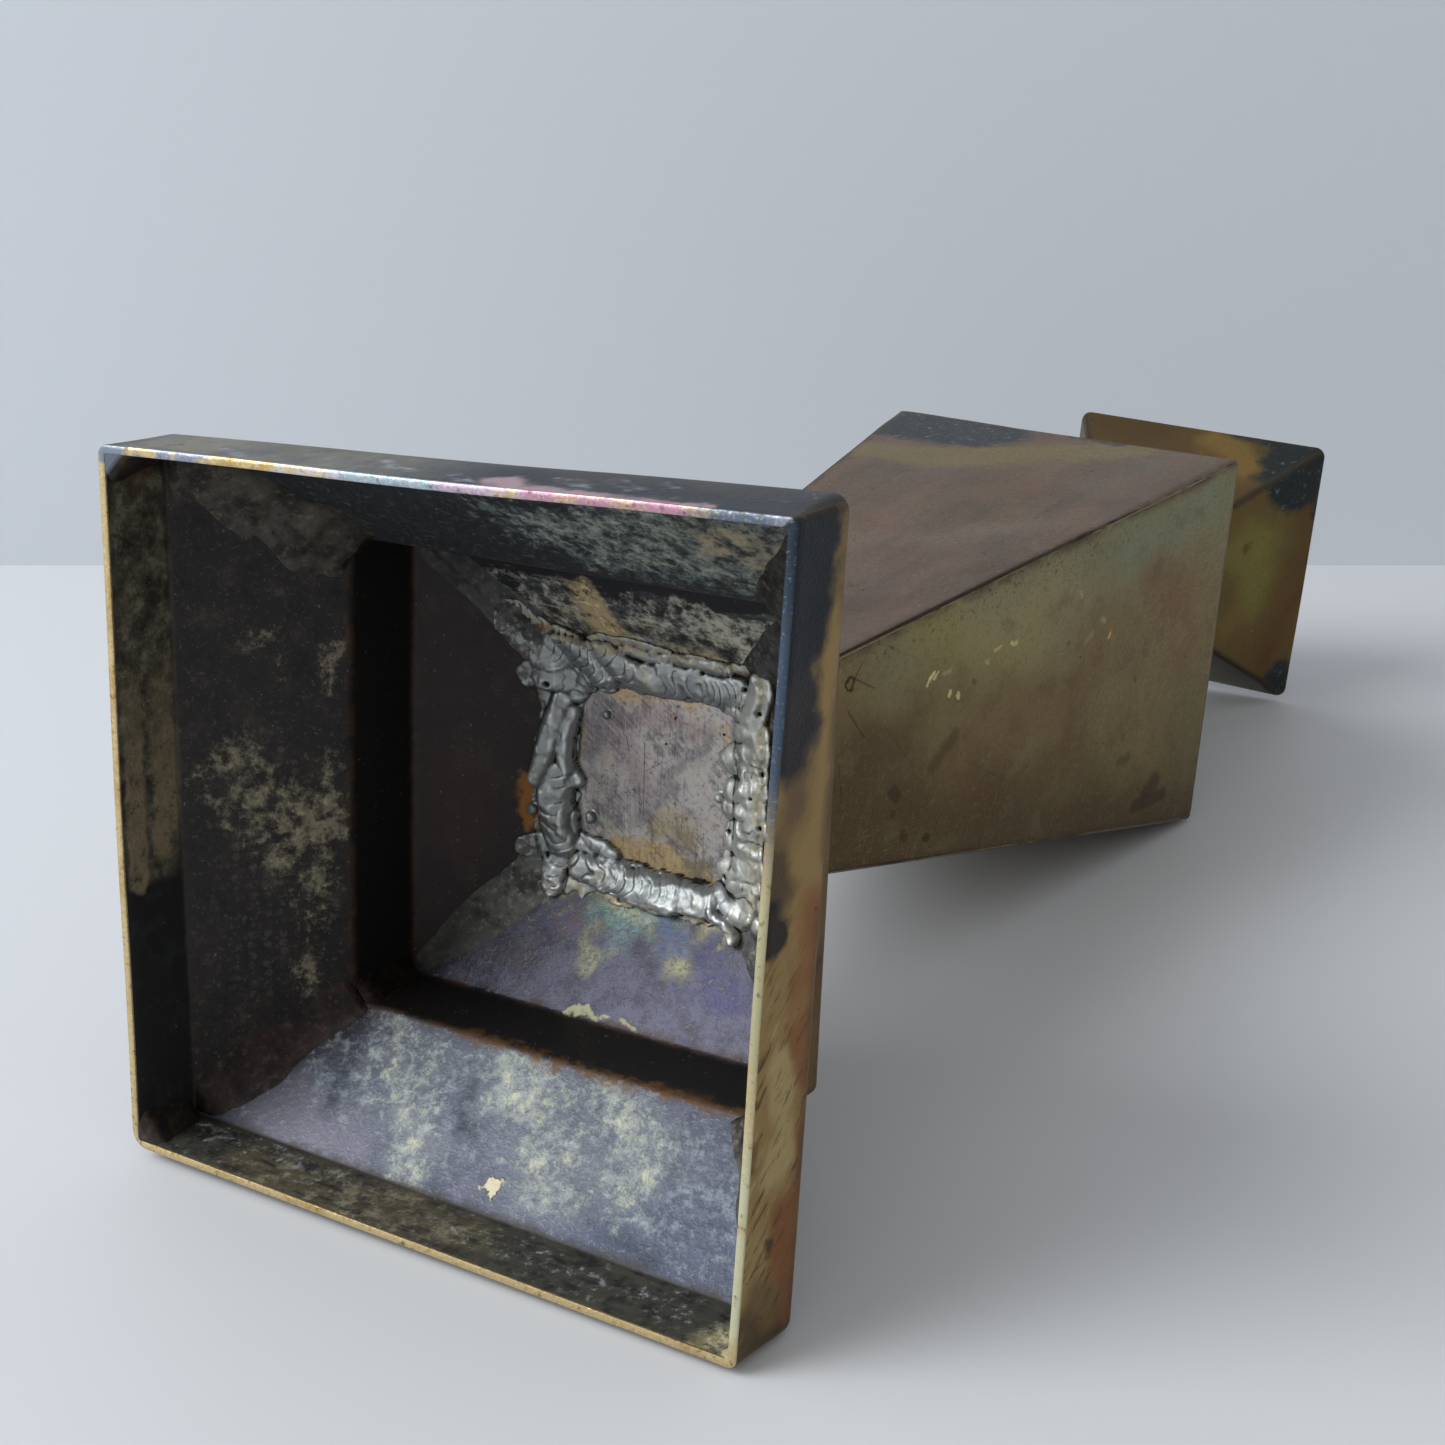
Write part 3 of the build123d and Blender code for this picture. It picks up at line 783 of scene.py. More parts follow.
class Look:
    """One material, built up in coats over a bare metal. Its coordinates are in millimetres."""

    def __init__(self, name, colour, rough=0.4, metal=1.0, twist=0.0):
        self.material = bpy.data.materials.new(name)
        self.material.use_nodes = True
        self.tree = self.material.node_tree
        self.colour, self.rough, self.metal, self.height = (*colour, 1.0), rough, metal, None
        place = self.add("ShaderNodeTexCoord")
        scaled = self.add("ShaderNodeVectorMath", operation="SCALE")
        self.feed(scaled.inputs[0], Field(self, place.outputs["Object"]))
        scaled.inputs["Scale"].default_value = 1 / MM
        self.at = Field(self, scaled.outputs["Vector"])
        turn = self.add("ShaderNodeVectorRotate", rotation_type="Z_AXIS")
        self.feed(turn.inputs["Vector"], self.at)
        turn.inputs["Angle"].default_value = -math.radians(twist)
        self.square = Field(self, turn.outputs["Vector"])
        parts = self.add("ShaderNodeSeparateXYZ")
        self.feed(parts.inputs[0], self.square)
        self.x, self.y, self.z = (Field(self, socket) for socket in parts.outputs)

    def add(self, kind, **settings):
        node = self.tree.nodes.new(kind)
        for key, value in settings.items():
            setattr(node, key, value)
        return node

    def feed(self, socket, value):
        if isinstance(value, Field):
            self.tree.links.new(value.socket, socket)
        else:
            socket.default_value = value

    def side(self, name):
        """1 on the quarter of the object that faces that side."""
        x, y = self.x, self.y
        reach = {"right": x - y.size(), "left": x * -1.0 - y.size(),
                 "back": y - x.size(), "front": y * -1.0 - x.size()}[name]
        return reach.ramp(-0.4, 0.4)

    def noise(self, size, detail=3.0, grain=0.55, stretch=(1, 1, 1), seed=0.0, at=None):
        """0 to 1 with features about size across, longer along axes where stretch is above 1."""
        place = self.add("ShaderNodeVectorMath", operation="MULTIPLY_ADD")
        self.feed(place.inputs[0], at or self.at)
        place.inputs[1].default_value = [1 / (size * s) for s in stretch]
        place.inputs[2].default_value = (seed * 7.31, seed * 3.17, seed * 5.77)
        node = self.add("ShaderNodeTexNoise")
        self.tree.links.new(place.outputs["Vector"], node.inputs["Vector"])
        node.inputs["Scale"].default_value = 1.0
        node.inputs["Detail"].default_value = detail
        node.inputs["Roughness"].default_value = grain
        return Field(self, node.outputs["Fac"])

    def ragged(self, amount, size, seed=0.0):
        """The place, shaken by up to about amount, so that marks get uneven edges."""
        place = self.add("ShaderNodeVectorMath", operation="MULTIPLY_ADD")
        self.feed(place.inputs[0], self.square)
        place.inputs[1].default_value = [1 / size] * 3
        place.inputs[2].default_value = (seed * 3.3, seed * 9.1, seed * 1.7)
        node = self.add("ShaderNodeTexNoise")
        self.tree.links.new(place.outputs["Vector"], node.inputs["Vector"])
        node.inputs["Scale"].default_value = 1.0
        node.inputs["Detail"].default_value = 3.0
        centred = self.add("ShaderNodeVectorMath", operation="SUBTRACT")
        self.tree.links.new(node.outputs["Color"], centred.inputs[0])
        centred.inputs[1].default_value = (0.5, 0.5, 0.5)
        moved = self.add("ShaderNodeVectorMath", operation="MULTIPLY_ADD")
        self.tree.links.new(centred.outputs["Vector"], moved.inputs[0])
        moved.inputs[1].default_value = [4 * amount] * 3
        self.feed(moved.inputs[2], self.square)
        return Field(self, moved.outputs["Vector"])

    def slanted(self, lean, axis="X_AXIS"):
        """The place turned, so that marks drawn out along y lean."""
        node = self.add("ShaderNodeVectorRotate", rotation_type=axis)
        self.feed(node.inputs["Vector"], self.at)
        node.inputs["Angle"].default_value = lean
        return Field(self, node.outputs["Vector"])

    def hammered(self, pitch):
        """Small round dimples in rows."""
        node = self.add("ShaderNodeTexVoronoi")
        self.feed(node.inputs["Vector"], self.at)
        node.inputs["Scale"].default_value = 1 / pitch
        node.inputs["Randomness"].default_value = 0.35
        return Field(self, node.outputs["Distance"]).ramp(0.5, 0.3)

    def near(self, start, end, reach, core=0.0, at=None):
        """1 within core of the line from start to end, 0 beyond reach."""
        node = self.add("ShaderNodeGroup", node_tree=NEAR_LINE)
        self.feed(node.inputs["At"], at or self.square)
        node.inputs["Start"].default_value = start
        node.inputs["End"].default_value = end
        node.inputs["Reach"].default_value = reach
        node.inputs["Core"].default_value = core
        return Field(self, node.outputs["Mask"])

    def value(self, name):
        """A number that the mesh carries on its points."""
        return Field(self, self.add("ShaderNodeAttribute", attribute_name=name).outputs["Fac"])

    def blend(self, kind, old, new, mask):
        node = self.add("ShaderNodeMix", data_type=kind)
        first, result = (6, 2) if kind == "RGBA" else (2, 0)  # the node's sockets for colours, for numbers
        self.feed(node.inputs[0], mask)
        self.feed(node.inputs[first], old)
        self.feed(node.inputs[first + 1], new)
        return Field(self, node.outputs[result])

    def coat(self, mask, colour=None, rough=None, metal=None, height=None):
        """Lay a finish over what is there, where mask is 1; height is in millimetres, and adds up."""
        if colour is not None:
            new = colour if isinstance(colour, Field) else (*colour, 1.0)
            self.colour = self.blend("RGBA", self.colour, new, mask)
        if rough is not None:
            self.rough = self.blend("FLOAT", self.rough, rough, mask)
        if metal is not None:
            self.metal = self.blend("FLOAT", self.metal, metal, mask)
        if height is not None:
            rise = mask * height
            self.height = rise if self.height is None else self.height + rise

    def mottle(self, noise, *bands, where=None, **finish):
        """Lay colours where a noise passes from low to high: (low, high, strength, colour)."""
        for low, high, strength, colour in bands:
            mask = noise.ramp(low, high) * strength
            self.coat(mask if where is None else mask * where, tone(*colour), **finish)

    def patches(self, where, place, at, table, **finish):
        """Lay soft patches, each between two places: (start, end, reach, core, strength, colour)."""
        for start, end, reach, core, strength, colour in table:
            mask = self.near(place(*start), place(*end), reach, core, at) * strength
            self.coat(mask if where is None else mask * where, tone(*colour), **finish)

    def union(self, place, at, table):
        """1 near any of the lines in a table: (start, end, reach, core)."""
        return reduce(Field.most, [self.near(place(*start), place(*end), reach, core, at)
                                   for start, end, reach, core in table])

    def ridge(self):
        """Distance from the diagonals, and so from the ridges."""
        return (self.x.size() - self.y.size()).size()

    def done(self):
        shader = self.tree.nodes["Principled BSDF"]
        self.feed(shader.inputs["Base Color"], self.colour)
        self.feed(shader.inputs["Roughness"], self.rough)
        self.feed(shader.inputs["Metallic"], self.metal)
        if self.height is not None:
            bump = self.add("ShaderNodeBump")
            bump.inputs["Distance"].default_value = MM
            self.feed(bump.inputs["Height"], self.height)
            self.tree.links.new(bump.outputs["Normal"], shader.inputs["Normal"])
        return self.material


# ---- the looks -----------------------------------------------------------------------------------

def on_side(side, half, across, z):
    return {"right": (half, across, z), "left": (-half, across, z),
            "back": (across, half, z), "front": (across, -half, z)}[side]


def on_stem(side, z, across):
    """A place on a stem face, in the stem's own square frame."""
    return on_side(side, stem_half(z), across, z)


def on_cup(side, z, across):
    return on_side(side, cup_half(z), across, z)


def on_lower(side, across, depth):
    """A place inside the lower slope; depth runs from 0 at the skirt to 1 at the riser."""
    z = SKIRT_TOP + (RISER_FOOT - SKIRT_TOP) * depth
    return on_side(side, lower_inside(z), across, z)


def on_roof(x, y):
    return (x, y, float(foot_roof(x, y)))


def on_plate(x, y):
    return (x, y, NECK_Z)


def metal_grain(look, seed):
    """Fine pitting, faint brushed lines and a slow change of polish, as on worked sheet."""
    look.coat(look.noise(0.55, 4, 0.6, seed=seed).ramp(0.35, 0.75), height=0.035)
    look.coat(look.noise(0.35, 2, 0.5, stretch=(1, 1, 14), seed=seed + 1), height=0.012)
    look.coat(look.noise(11, 3, 0.6, seed=seed + 2).ramp(0.3, 0.7) * 0.5, rough=0.55)


def patina_specks(look, seed):
    """Scattered dark and pale specks."""
    where = look.noise(13, 2, 0.5, seed=seed + 3)
    look.coat(look.noise(1.1, 2, 0.5, seed=seed).ramp(0.70, 0.75) * where.ramp(0.45, 0.65), tone(52, 38, 24),
              rough=0.55)
    look.coat(look.noise(0.8, 1, 0.5, seed=seed + 5).ramp(0.77, 0.80) * where.ramp(0.6, 0.4),
              tone(150, 128, 88), rough=0.35)


# soft patches of patina: start, end, reach, core, strength, sRGB colour; on the stem places are z, across.
# Two on the right face are partly painted light, marked below
STEM_RIGHT = (
    # partly patina, partly a painted reflection: lighter olive towards the front ridge
    ((95, -20), (200, -34), 22, 3, 0.85, (132, 130, 98)),
    ((98, -15), (130, -14), 12, 1, 0.55, (156, 140, 82)),
    ((116, -17), (142, -14), 11, 1, 0.50, (158, 146, 110)),
    ((66, -8), (84, 4), 12, 2, 0.7, (106, 88, 54)),
    ((112, 6), (165, -4), 14, 1, 0.55, (124, 98, 64)),
    ((174, -18), (186, -4), 13, 1, 0.65, (126, 90, 64)),
    ((84, 4), (100, 7), 11, 1, 0.6, (88, 70, 46)),
    # partly patina, partly painted shade: darker brown towards the back ridge, next to the table
    ((70, 14), (200, 40), 21, 5, 0.85, (88, 69, 41)),
    ((116, 14), (150, 12), 8, 1, 0.4, (98, 66, 42)),
    ((188, 10), (194, 24), 13, 1, 0.5, (108, 102, 70)),
    ((160, -24), (190, -28), 8, 1, 0.4, (126, 134, 110)),
)
STEM_FRONT = (
    ((150, 12), (178, -4), 12, 2, 0.6, (122, 98, 72)),
    ((100, -18), (148, 20), 7, 1, 0.5, (142, 128, 112)),
    ((112, 2), (132, -6), 8, 1, 0.5, (134, 106, 90)),
    ((160, -28), (165, -14), 11, 2, 0.5, (106, 100, 88)),
    ((84, 4), (120, 22), 6, 1, 0.55, (92, 68, 56)),
    ((124, 26), (160, 28), 8, 1, 0.5, (94, 82, 70)),
    ((170, 20), (194, 26), 9, 1, 0.4, (122, 118, 108)),
)
STEM_GOLD = (((168, -40), (171, -10), 8.5, 4), ((173, -8), (186, 6), 9.5, 3), ((186, 6), (195, 18), 8.0, 2))
STEM_CHAR = (((192, -44), (192, -17), 14, 10), ((198, 2), (198, 12), 3, 1))


def stem_look(side):
    """Flame-coloured brass. The front and the right face have marks of their own."""
    look = Look(f"stem_patina_{side}", tone(122, 106, 74), rough=0.42, metal=0.85, twist=STEM_TWIST)
    cloud, fine = look.noise(30, 4, 0.55, seed=4), look.noise(7, 5, 0.6, seed=5)
    look.mottle(cloud, (0.42, 0.62, 1.0, (108, 82, 58)), (0.45, 0.3, 1.0, (118, 114, 78)))
    look.mottle(fine, (0.45, 0.7, 0.5, (92, 74, 50)))
    if side == "right":
        stem_right(look, fine)
    if side == "front":
        stem_front(look)

    # every face: browned along the ridges, a fine bloom and brushed lines
    look.coat(look.ridge().ramp(2.4, 0.4) * fine.ramp(0.3, 0.6) * 0.7, tone(80, 62, 42), rough=0.45)
    look.mottle(look.noise(0.9, 6, 0.75, seed=14),
                (0.5, 0.68, 0.36, (82, 68, 44)), (0.46, 0.32, 0.28, (158, 146, 112)))
    for lean, stretch, seed in ((0.5, (1, 26, 1), 15), (0.0, (1, 1, 26), 16)):
        hair = look.noise(0.3, 2, 0.5, stretch=stretch, seed=seed, at=look.slanted(lean))
        look.coat(hair.ramp(0.58, 0.7) * cloud.ramp(0.3, 0.55) * 0.3, tone(86, 70, 44))
        look.coat(hair.ramp(0.42, 0.3) * cloud.ramp(0.35, 0.6) * 0.22, tone(164, 152, 116), rough=0.36)
    patina_specks(look, 21)
    if side == "right":
        stem_marks(look)
    metal_grain(look, 30)
    return look.done()


def stem_right(look, fine):
    """Golden olive towards the ridge, browner below: partly the metal's colour, partly a painted reflection
    towards the front ridge and painted shade towards the back ridge.
    """
    look.coat(1.0, tone(128, 111, 70))
    # these patches include painted light: a painted reflection towards the front ridge and painted shade
    # towards the back ridge
    look.patches(None, partial(on_stem, "right"), look.ragged(5.0, 22.0, 1), STEM_RIGHT)
    look.mottle(fine, (0.52, 0.68, 0.36, (96, 68, 40)), (0.46, 0.32, 0.22, (148, 136, 98)))
    near_ridge = look.near(on_stem("right", 75, -15.5), on_stem("right", 160, -26.5), 5.0, 0.8)
    look.coat(near_ridge * look.noise(1.0, 3, 0.6, seed=25).ramp(0.58, 0.68) * 0.8, tone(84, 62, 36))


def stem_front(look):
    """Mauve-brown with soft darker and redder bands, then gold and char along the wide edge."""
    soft, shaken, place = look.ragged(5.0, 22.0, 1), look.ragged(1.6, 4.0, 2), partial(on_stem, "front")
    look.coat(1.0, tone(119, 98, 84))
    look.patches(None, place, soft, STEM_FRONT)
    bands = look.noise(16, 4, 0.6, stretch=(0.5, 1, 2.2), seed=8)
    look.mottle(bands, (0.48, 0.66, 0.65, (136, 107, 89)), (0.48, 0.32, 0.65, (96, 85, 73)))
    look.coat(look.union(place, soft, STEM_GOLD) * 0.9, tone(140, 123, 82))
    char = look.union(place, shaken, STEM_CHAR)
    ash = char * look.noise(1.6, 5, 0.7, seed=12).ramp(0.56, 0.7) * 0.7
    look.coat(char, tone(50, 58, 66), rough=0.5, metal=0.6)
    look.coat(ash, tone(150, 156, 158), rough=0.6, metal=0.3)


# rubs, stains and scratches on the stem's right face: z, across to z, across, reach, core, strength, colour
STEM_MARKS = (
    (100.4, -8.6, 101.8, -10.2, 0.62, 0.25, 0.95, (226, 208, 152)),
    (102.0, -9.2, 103.2, -10.2, 0.45, 0.15, 0.7, (226, 208, 152)),
    (99.3, -8.9, 99.5, -8.7, 0.5, 0.3, 0.8, (210, 190, 140)),
    (106.8, -6.2, 107.2, -5.9, 0.55, 0.25, 0.85, (220, 200, 140)),
    (109.4, -5.4, 109.8, -5.1, 0.6, 0.25, 0.85, (214, 196, 140)),
    (113.6, -7.2, 113.8, -6.9, 0.7, 0.3, 0.6, (90, 64, 36)),
    (119.0, -11.2, 120.6, -11.6, 0.6, 0.2, 0.8, (196, 180, 118)),
    (124.2, -11.6, 125.2, -11.4, 0.7, 0.3, 0.8, (210, 196, 130)),
    (117.0, -9.8, 117.4, -9.6, 0.5, 0.2, 0.7, (190, 174, 116)),
    (104.5, -9.6, 106.4, -9.9, 0.6, 0.2, 0.6, (180, 160, 104)),
    (148.2, -8.2, 150.0, -9.2, 0.9, 0.2, 0.6, (168, 150, 98)),
    (153.0, -11.6, 154.2, -11.2, 0.7, 0.2, 0.6, (172, 158, 106)),
    (156.2, -9.4, 158.0, -7.6, 1.1, 0.2, 0.6, (160, 118, 60)),
    (156.0, -7.8, 156.4, -8.4, 0.6, 0.2, 0.8, (214, 190, 130)),
    (144.4, -17.2, 144.8, -17.0, 0.6, 0.2, 0.6, (170, 160, 118)),
    # drops and stains
    (104.0, 5.6, 109.8, 1.4, 2.0, 0.5, 0.65, (86, 68, 42)),
    (93.6, 7.6, 94.8, 8.4, 1.4, 0.9, 0.7, (70, 54, 33)),
    (93.9, 10.9, 94.2, 11.2, 0.8, 0.5, 0.7, (70, 52, 31)),
    (97.2, 15.4, 98.0, 16.0, 1.1, 0.6, 0.8, (84, 58, 34)),
    (103.4, 17.4, 104.4, 17.6, 0.9, 0.5, 0.8, (66, 50, 30)),
    (165.6, 17.2, 168.6, 17.0, 1.5, 0.4, 0.55, (80, 62, 38)),
    (142.0, -9.0, 142.4, -8.6, 0.8, 0.2, 0.5, (84, 66, 42)),
    (167.4, 1.6, 168.2, 2.0, 1.0, 0.3, 0.5, (96, 68, 42)),
    (173.0, 27.6, 184.4, 27.2, 1.9, 0.8, 0.7, (68, 50, 34)),
    (177.0, 25.6, 180.6, 23.8, 2.6, 0.8, 0.7, (70, 52, 35)),
    # thin dark scratches
    (79.8, -8.0, 84.4, -3.2, 0.26, 0.05, 0.7, (52, 42, 26)),
    (90.0, -3.6, 99.0, 4.8, 0.24, 0.04, 0.7, (62, 50, 30)),
    (78.6, 0.4, 79.8, 5.4, 0.24, 0.04, 0.6, (62, 50, 30)),
    (80.6, -13.0, 86.0, -10.6, 0.26, 0.05, 0.6, (56, 46, 28)),
    (82.4, -15.2, 79.6, -11.4, 0.26, 0.05, 0.6, (60, 48, 28)),
    (88.0, -17.0, 96.4, -13.6, 0.22, 0.03, 0.5, (80, 66, 40)),
    (112.4, 5.8, 126.0, 12.4, 0.2, 0.02, 0.45, (74, 60, 38)),
)


HAIRLINE = 0.4  # marks narrower than this are scratches, with straight edges and some depth
BRIGHT = 420  # marks whose colour adds up to more than this are rubbed bright


def stem_marks(look):
    shaken = look.ragged(0.45, 1.6, 6)
    for z0, a0, z1, a1, reach, core, strength, colour in STEM_MARKS:
        thin = reach < HAIRLINE
        mask = look.near(on_stem("right", z0, a0), on_stem("right", z1, a1), reach, core,
                         look.square if thin else shaken)
        look.coat(mask * strength, tone(*colour), rough=0.3 if sum(colour) > BRIGHT else 0.5,
                  height=-0.05 if thin else None)
    ring, hole = (look.near(on_stem("right", 79.6, -12.4), on_stem("right", 79.8, -12.2), reach, core, shaken)
                  for reach, core in ((1.4, 1.1), (0.9, 0.6)))
    look.coat(ring * hole.flip(), tone(70, 50, 28), rough=0.5)


# on the cup places are z, across
CUP_RIGHT = (
    ((266, -6), (271, 3), 10, 3, 1.0, (118, 109, 58)), ((280, -10), (274, 22), 9, 1, 0.7, (92, 66, 38)),
    ((274.5, -15.5), (275, -15), 2.8, 0.9, 0.9, (150, 118, 58)),
    ((265, 9), (263, 12), 5, 1, 0.7, (120, 98, 58)), ((265, -7), (265.4, -6), 1.6, 0.4, 0.7, (88, 62, 32)),
)
CUP_FRONT = (
    ((278, 6), (272, 14), 7, 2, 0.9, (136, 108, 58)), ((279, -22), (279, -10), 8, 2, 0.6, (88, 68, 40)),
)
# teal-black flame marks on the cup: places, reach, core
CUP_TEAL = (
    ((29, -29, 283), (26, -24, 275), 11.5, 7.5), ((29.5, -26, 284), (29.5, 8, 285.5), 4.6, 2.4),
    ((24, -29, 281), (8, -29, 285), 5.6, 2.2), ((29, 29, 284), (28, 24, 278), 5.5, 3),
    ((-29, 20, 284), (-27, 27, 276), 6, 3),
)


def cup_look():
    """The cup: olive and golden brown, gold blooms, teal-black corners."""
    look = Look("cup_patina", tone(104, 86, 50), rough=0.4, metal=0.85, twist=CUP_TWIST)
    soft, edge = look.ragged(3.0, 12.0, 1), look.ragged(1.6, 4.0, 3)
    look.mottle(look.noise(15, 4, 0.55, seed=41),
                (0.5, 0.66, 1.0, (96, 66, 38)), (0.46, 0.3, 1.0, (104, 98, 56)))
    look.patches(look.side("right"), partial(on_cup, "right"), soft, CUP_RIGHT)
    look.coat(look.side("front"), tone(99, 79, 46))
    look.patches(look.side("front"), partial(on_cup, "front"), soft, CUP_FRONT)
    look.coat(look.side("back") * 0.75, tone(94, 90, 76))
    teal = look.union(lambda *place: place, edge, CUP_TEAL)
    look.coat(teal, tone(28, 36, 37), rough=0.45, metal=0.6)
    look.coat(teal * look.noise(1.4, 4, 0.7, seed=44).ramp(0.58, 0.7) * 0.5, tone(120, 136, 132), rough=0.6)
    look.coat(look.ridge().ramp(2.0, 0.3) * 0.8, tone(58, 54, 46))
    look.mottle(look.noise(0.9, 6, 0.75, seed=45), (0.5, 0.68, 0.3, (70, 58, 36)))
    patina_specks(look, 46)
    metal_grain(look, 47)
    return look.done()


def cavity_look():
    """Inside the cup, which the photograph hides: dark, with gold patches and a paler rim."""
    look = Look("cup_inside", tone(58, 48, 34), rough=0.55, metal=0.7)
    look.mottle(look.noise(9, 5, 0.6, seed=50),
                (0.5, 0.66, 1.0, (104, 82, 48)), (0.42, 0.3, 1.0, (30, 32, 32)))
    look.coat(look.z.ramp(CUP_TOP - 9, CUP_TOP - 1) * 0.6, tone(110, 88, 52))
    patina_specks(look, 52)
    metal_grain(look, 53)
    return look.done()


# on the skirt places are distance across, z
SKIRT_RIGHT = (
    ((-4, 11), (14, 10), 4.4, 1.4, 0.85, (142, 93, 54)), ((24, 12), (50, 11), 5.6, 2.4, 0.85, (136, 88, 52)),
    ((14, 5.5), (25, 6), 3.8, 1.8, 0.7, (186, 168, 118)), ((33, 4), (43, 4), 4.2, 1.4, 0.5, (170, 150, 106)),
    ((44, 4), (52, 6), 6, 2, 0.7, (104, 82, 52)), ((-26, 5), (-18, 4), 5.5, 1, 0.7, (86, 66, 54)),
    ((-50, 3), (-40, 2), 8.5, 5.5, 1.0, (32, 37, 43)), ((-34, 1), (-27, 2), 7.0, 4.0, 0.95, (36, 38, 46)),
    ((-13, 0), (-9, 2), 4.6, 1.2, 0.8, (62, 48, 42)), ((-5, 0), (-4, 1), 4.2, 2.4, 0.95, (34, 30, 30)),
    ((22, 0), (24, 0), 2.6, 0.8, 0.7, (90, 62, 44)), ((36, 5), (37, 5), 1.9, 0.5, 0.8, (50, 42, 34)),
    ((45, 1), (47, 2), 4.0, 0.5, 0.7, (66, 52, 40)),
)
SKIRT_FRONT = (
    ((-42, 6), (-32, 5), 8, 2, 0.7, (142, 134, 118)), ((-30, 12), (-12, 12), 7, 3, 0.6, (112, 114, 90)),
    ((-48, 3), (-45, 8), 4, 0.5, 0.7, (98, 100, 104)), ((-33, 2), (-29, 6), 4, 0.5, 0.8, (92, 98, 112)),
)
RIM_SMEAR = (((11, 3), (14, 1), 3.4, 1.2), ((14, 0.2), (39, 0), 2.7, 1.2))


# pale flecks on the front skirt: x, z of their middles
SKIRT_FLECKS = ((-6, 5), (26, 6), (31, 7), (45, 6), (-30, 3), (6, 2), (20, 5))


def skirt_right(look, right, soft, edge):
    """Blue-black, then golden brown with slanting strokes, orange along the bend."""
    on_right = partial(on_side, "right", BASE_HALF)
    look.coat(right, tone(156, 129, 80))
    strokes = look.noise(0.9, 4, 0.6, stretch=(1, 5, 1), seed=63, at=look.slanted(0.75))
    look.mottle(strokes, (0.53, 0.66, 0.75, (92, 70, 42)), (0.45, 0.3, 0.6, (186, 166, 114)),
                where=right * look.y.ramp(-10, 6))
    look.patches(right, on_right, soft, SKIRT_RIGHT[:5])
    look.patches(right, on_right, edge, SKIRT_RIGHT[5:], rough=0.4)
    look.mottle(strokes, (0.58, 0.66, 0.6, (84, 64, 40)), where=right * look.y.ramp(6, 14))


def skirt_front(look, front, soft, edge, cloud):
    """Grey-olive into blue-black, with a rose smear and pale flecks by the rim."""
    on_front = partial(on_side, "front", BASE_HALF)
    look.coat(front, tone(124, 122, 112), rough=0.4)
    look.patches(front, on_front, soft, SKIRT_FRONT)
    look.mottle(look.noise(2.6, 5, 0.65, stretch=(1, 3, 1), seed=62, at=look.slanted(-0.8, "Y_AXIS")),
                (0.48, 0.62, 0.6, (92, 94, 94)), (0.44, 0.32, 0.5, (156, 150, 132)), where=front)
    look.coat(front * look.x.ramp(-12, 10), tone(56, 61, 68), rough=0.42)
    brown = look.near(on_front(18, 8), on_front(48, 9), 4.5, 1, soft)
    look.coat(front * brown * 0.7, tone(78, 74, 70))
    smear = look.union(on_front, edge, RIM_SMEAR)
    look.coat(front * smear * cloud.ramp(0.25, 0.5) * 0.85, tone(178, 150, 158), rough=0.5, metal=0.3)
    flecks = look.noise(1.3, 5, 0.7, stretch=(2.6, 1, 1), seed=64)
    for x, z in SKIRT_FLECKS:
        streak = look.near(on_front(x - 2.4, z + 1.2), on_front(x + 2.4, z - 1.2), 1.7, 0.2, edge)
        look.coat(front * streak * flecks.ramp(0.4, 0.56) * 0.8, tone(150, 156, 164), rough=0.5, metal=0.3)


def foot_outside_look():
    """The outside of the foot: golden brown and olive, flame-blued in spots, browned along its bends."""
    look = Look("foot_patina", tone(124, 100, 62), rough=0.42, metal=0.85)
    soft, edge = look.ragged(3.5, 14.0, 1), look.ragged(1.3, 3.5, 2)
    cloud = look.noise(20, 4, 0.55, seed=61)
    look.mottle(cloud, (0.5, 0.64, 1.0, (104, 74, 48)), (0.44, 0.3, 1.0, (118, 110, 74)))
    skirt = look.z.ramp(11.5, 10.5)
    skirt_right(look, look.side("right") * skirt, soft, edge)
    skirt_front(look, look.side("front") * skirt, soft, edge, cloud)
    for z in (SKIRT_TOP, RISER_FOOT, RISER_TOP):
        bend = (look.z - z).size().ramp(2.2, 0.3) * look.noise(6, 3, 0.6, seed=66).ramp(0.3, 0.6)
        look.coat(bend * (skirt.flip() if z != SKIRT_TOP else 1.0) * 0.6, tone(96, 66, 40))
    flame = look.noise(17, 3, 0.5, seed=67).ramp(0.58, 0.66) * look.z.ramp(11, 16)
    look.coat(flame * 0.85, tone(52, 58, 64), rough=0.4)
    look.coat(look.ridge().ramp(2.4, 0.3) * 0.6, tone(74, 64, 50))
    patina_specks(look, 68)
    metal_grain(look, 69)
    return look.done()


CRUST_LEVEL = 0.72  # where specks of crust begin in the noise, when there is least of it
CRUST_SPREAD = 0.34


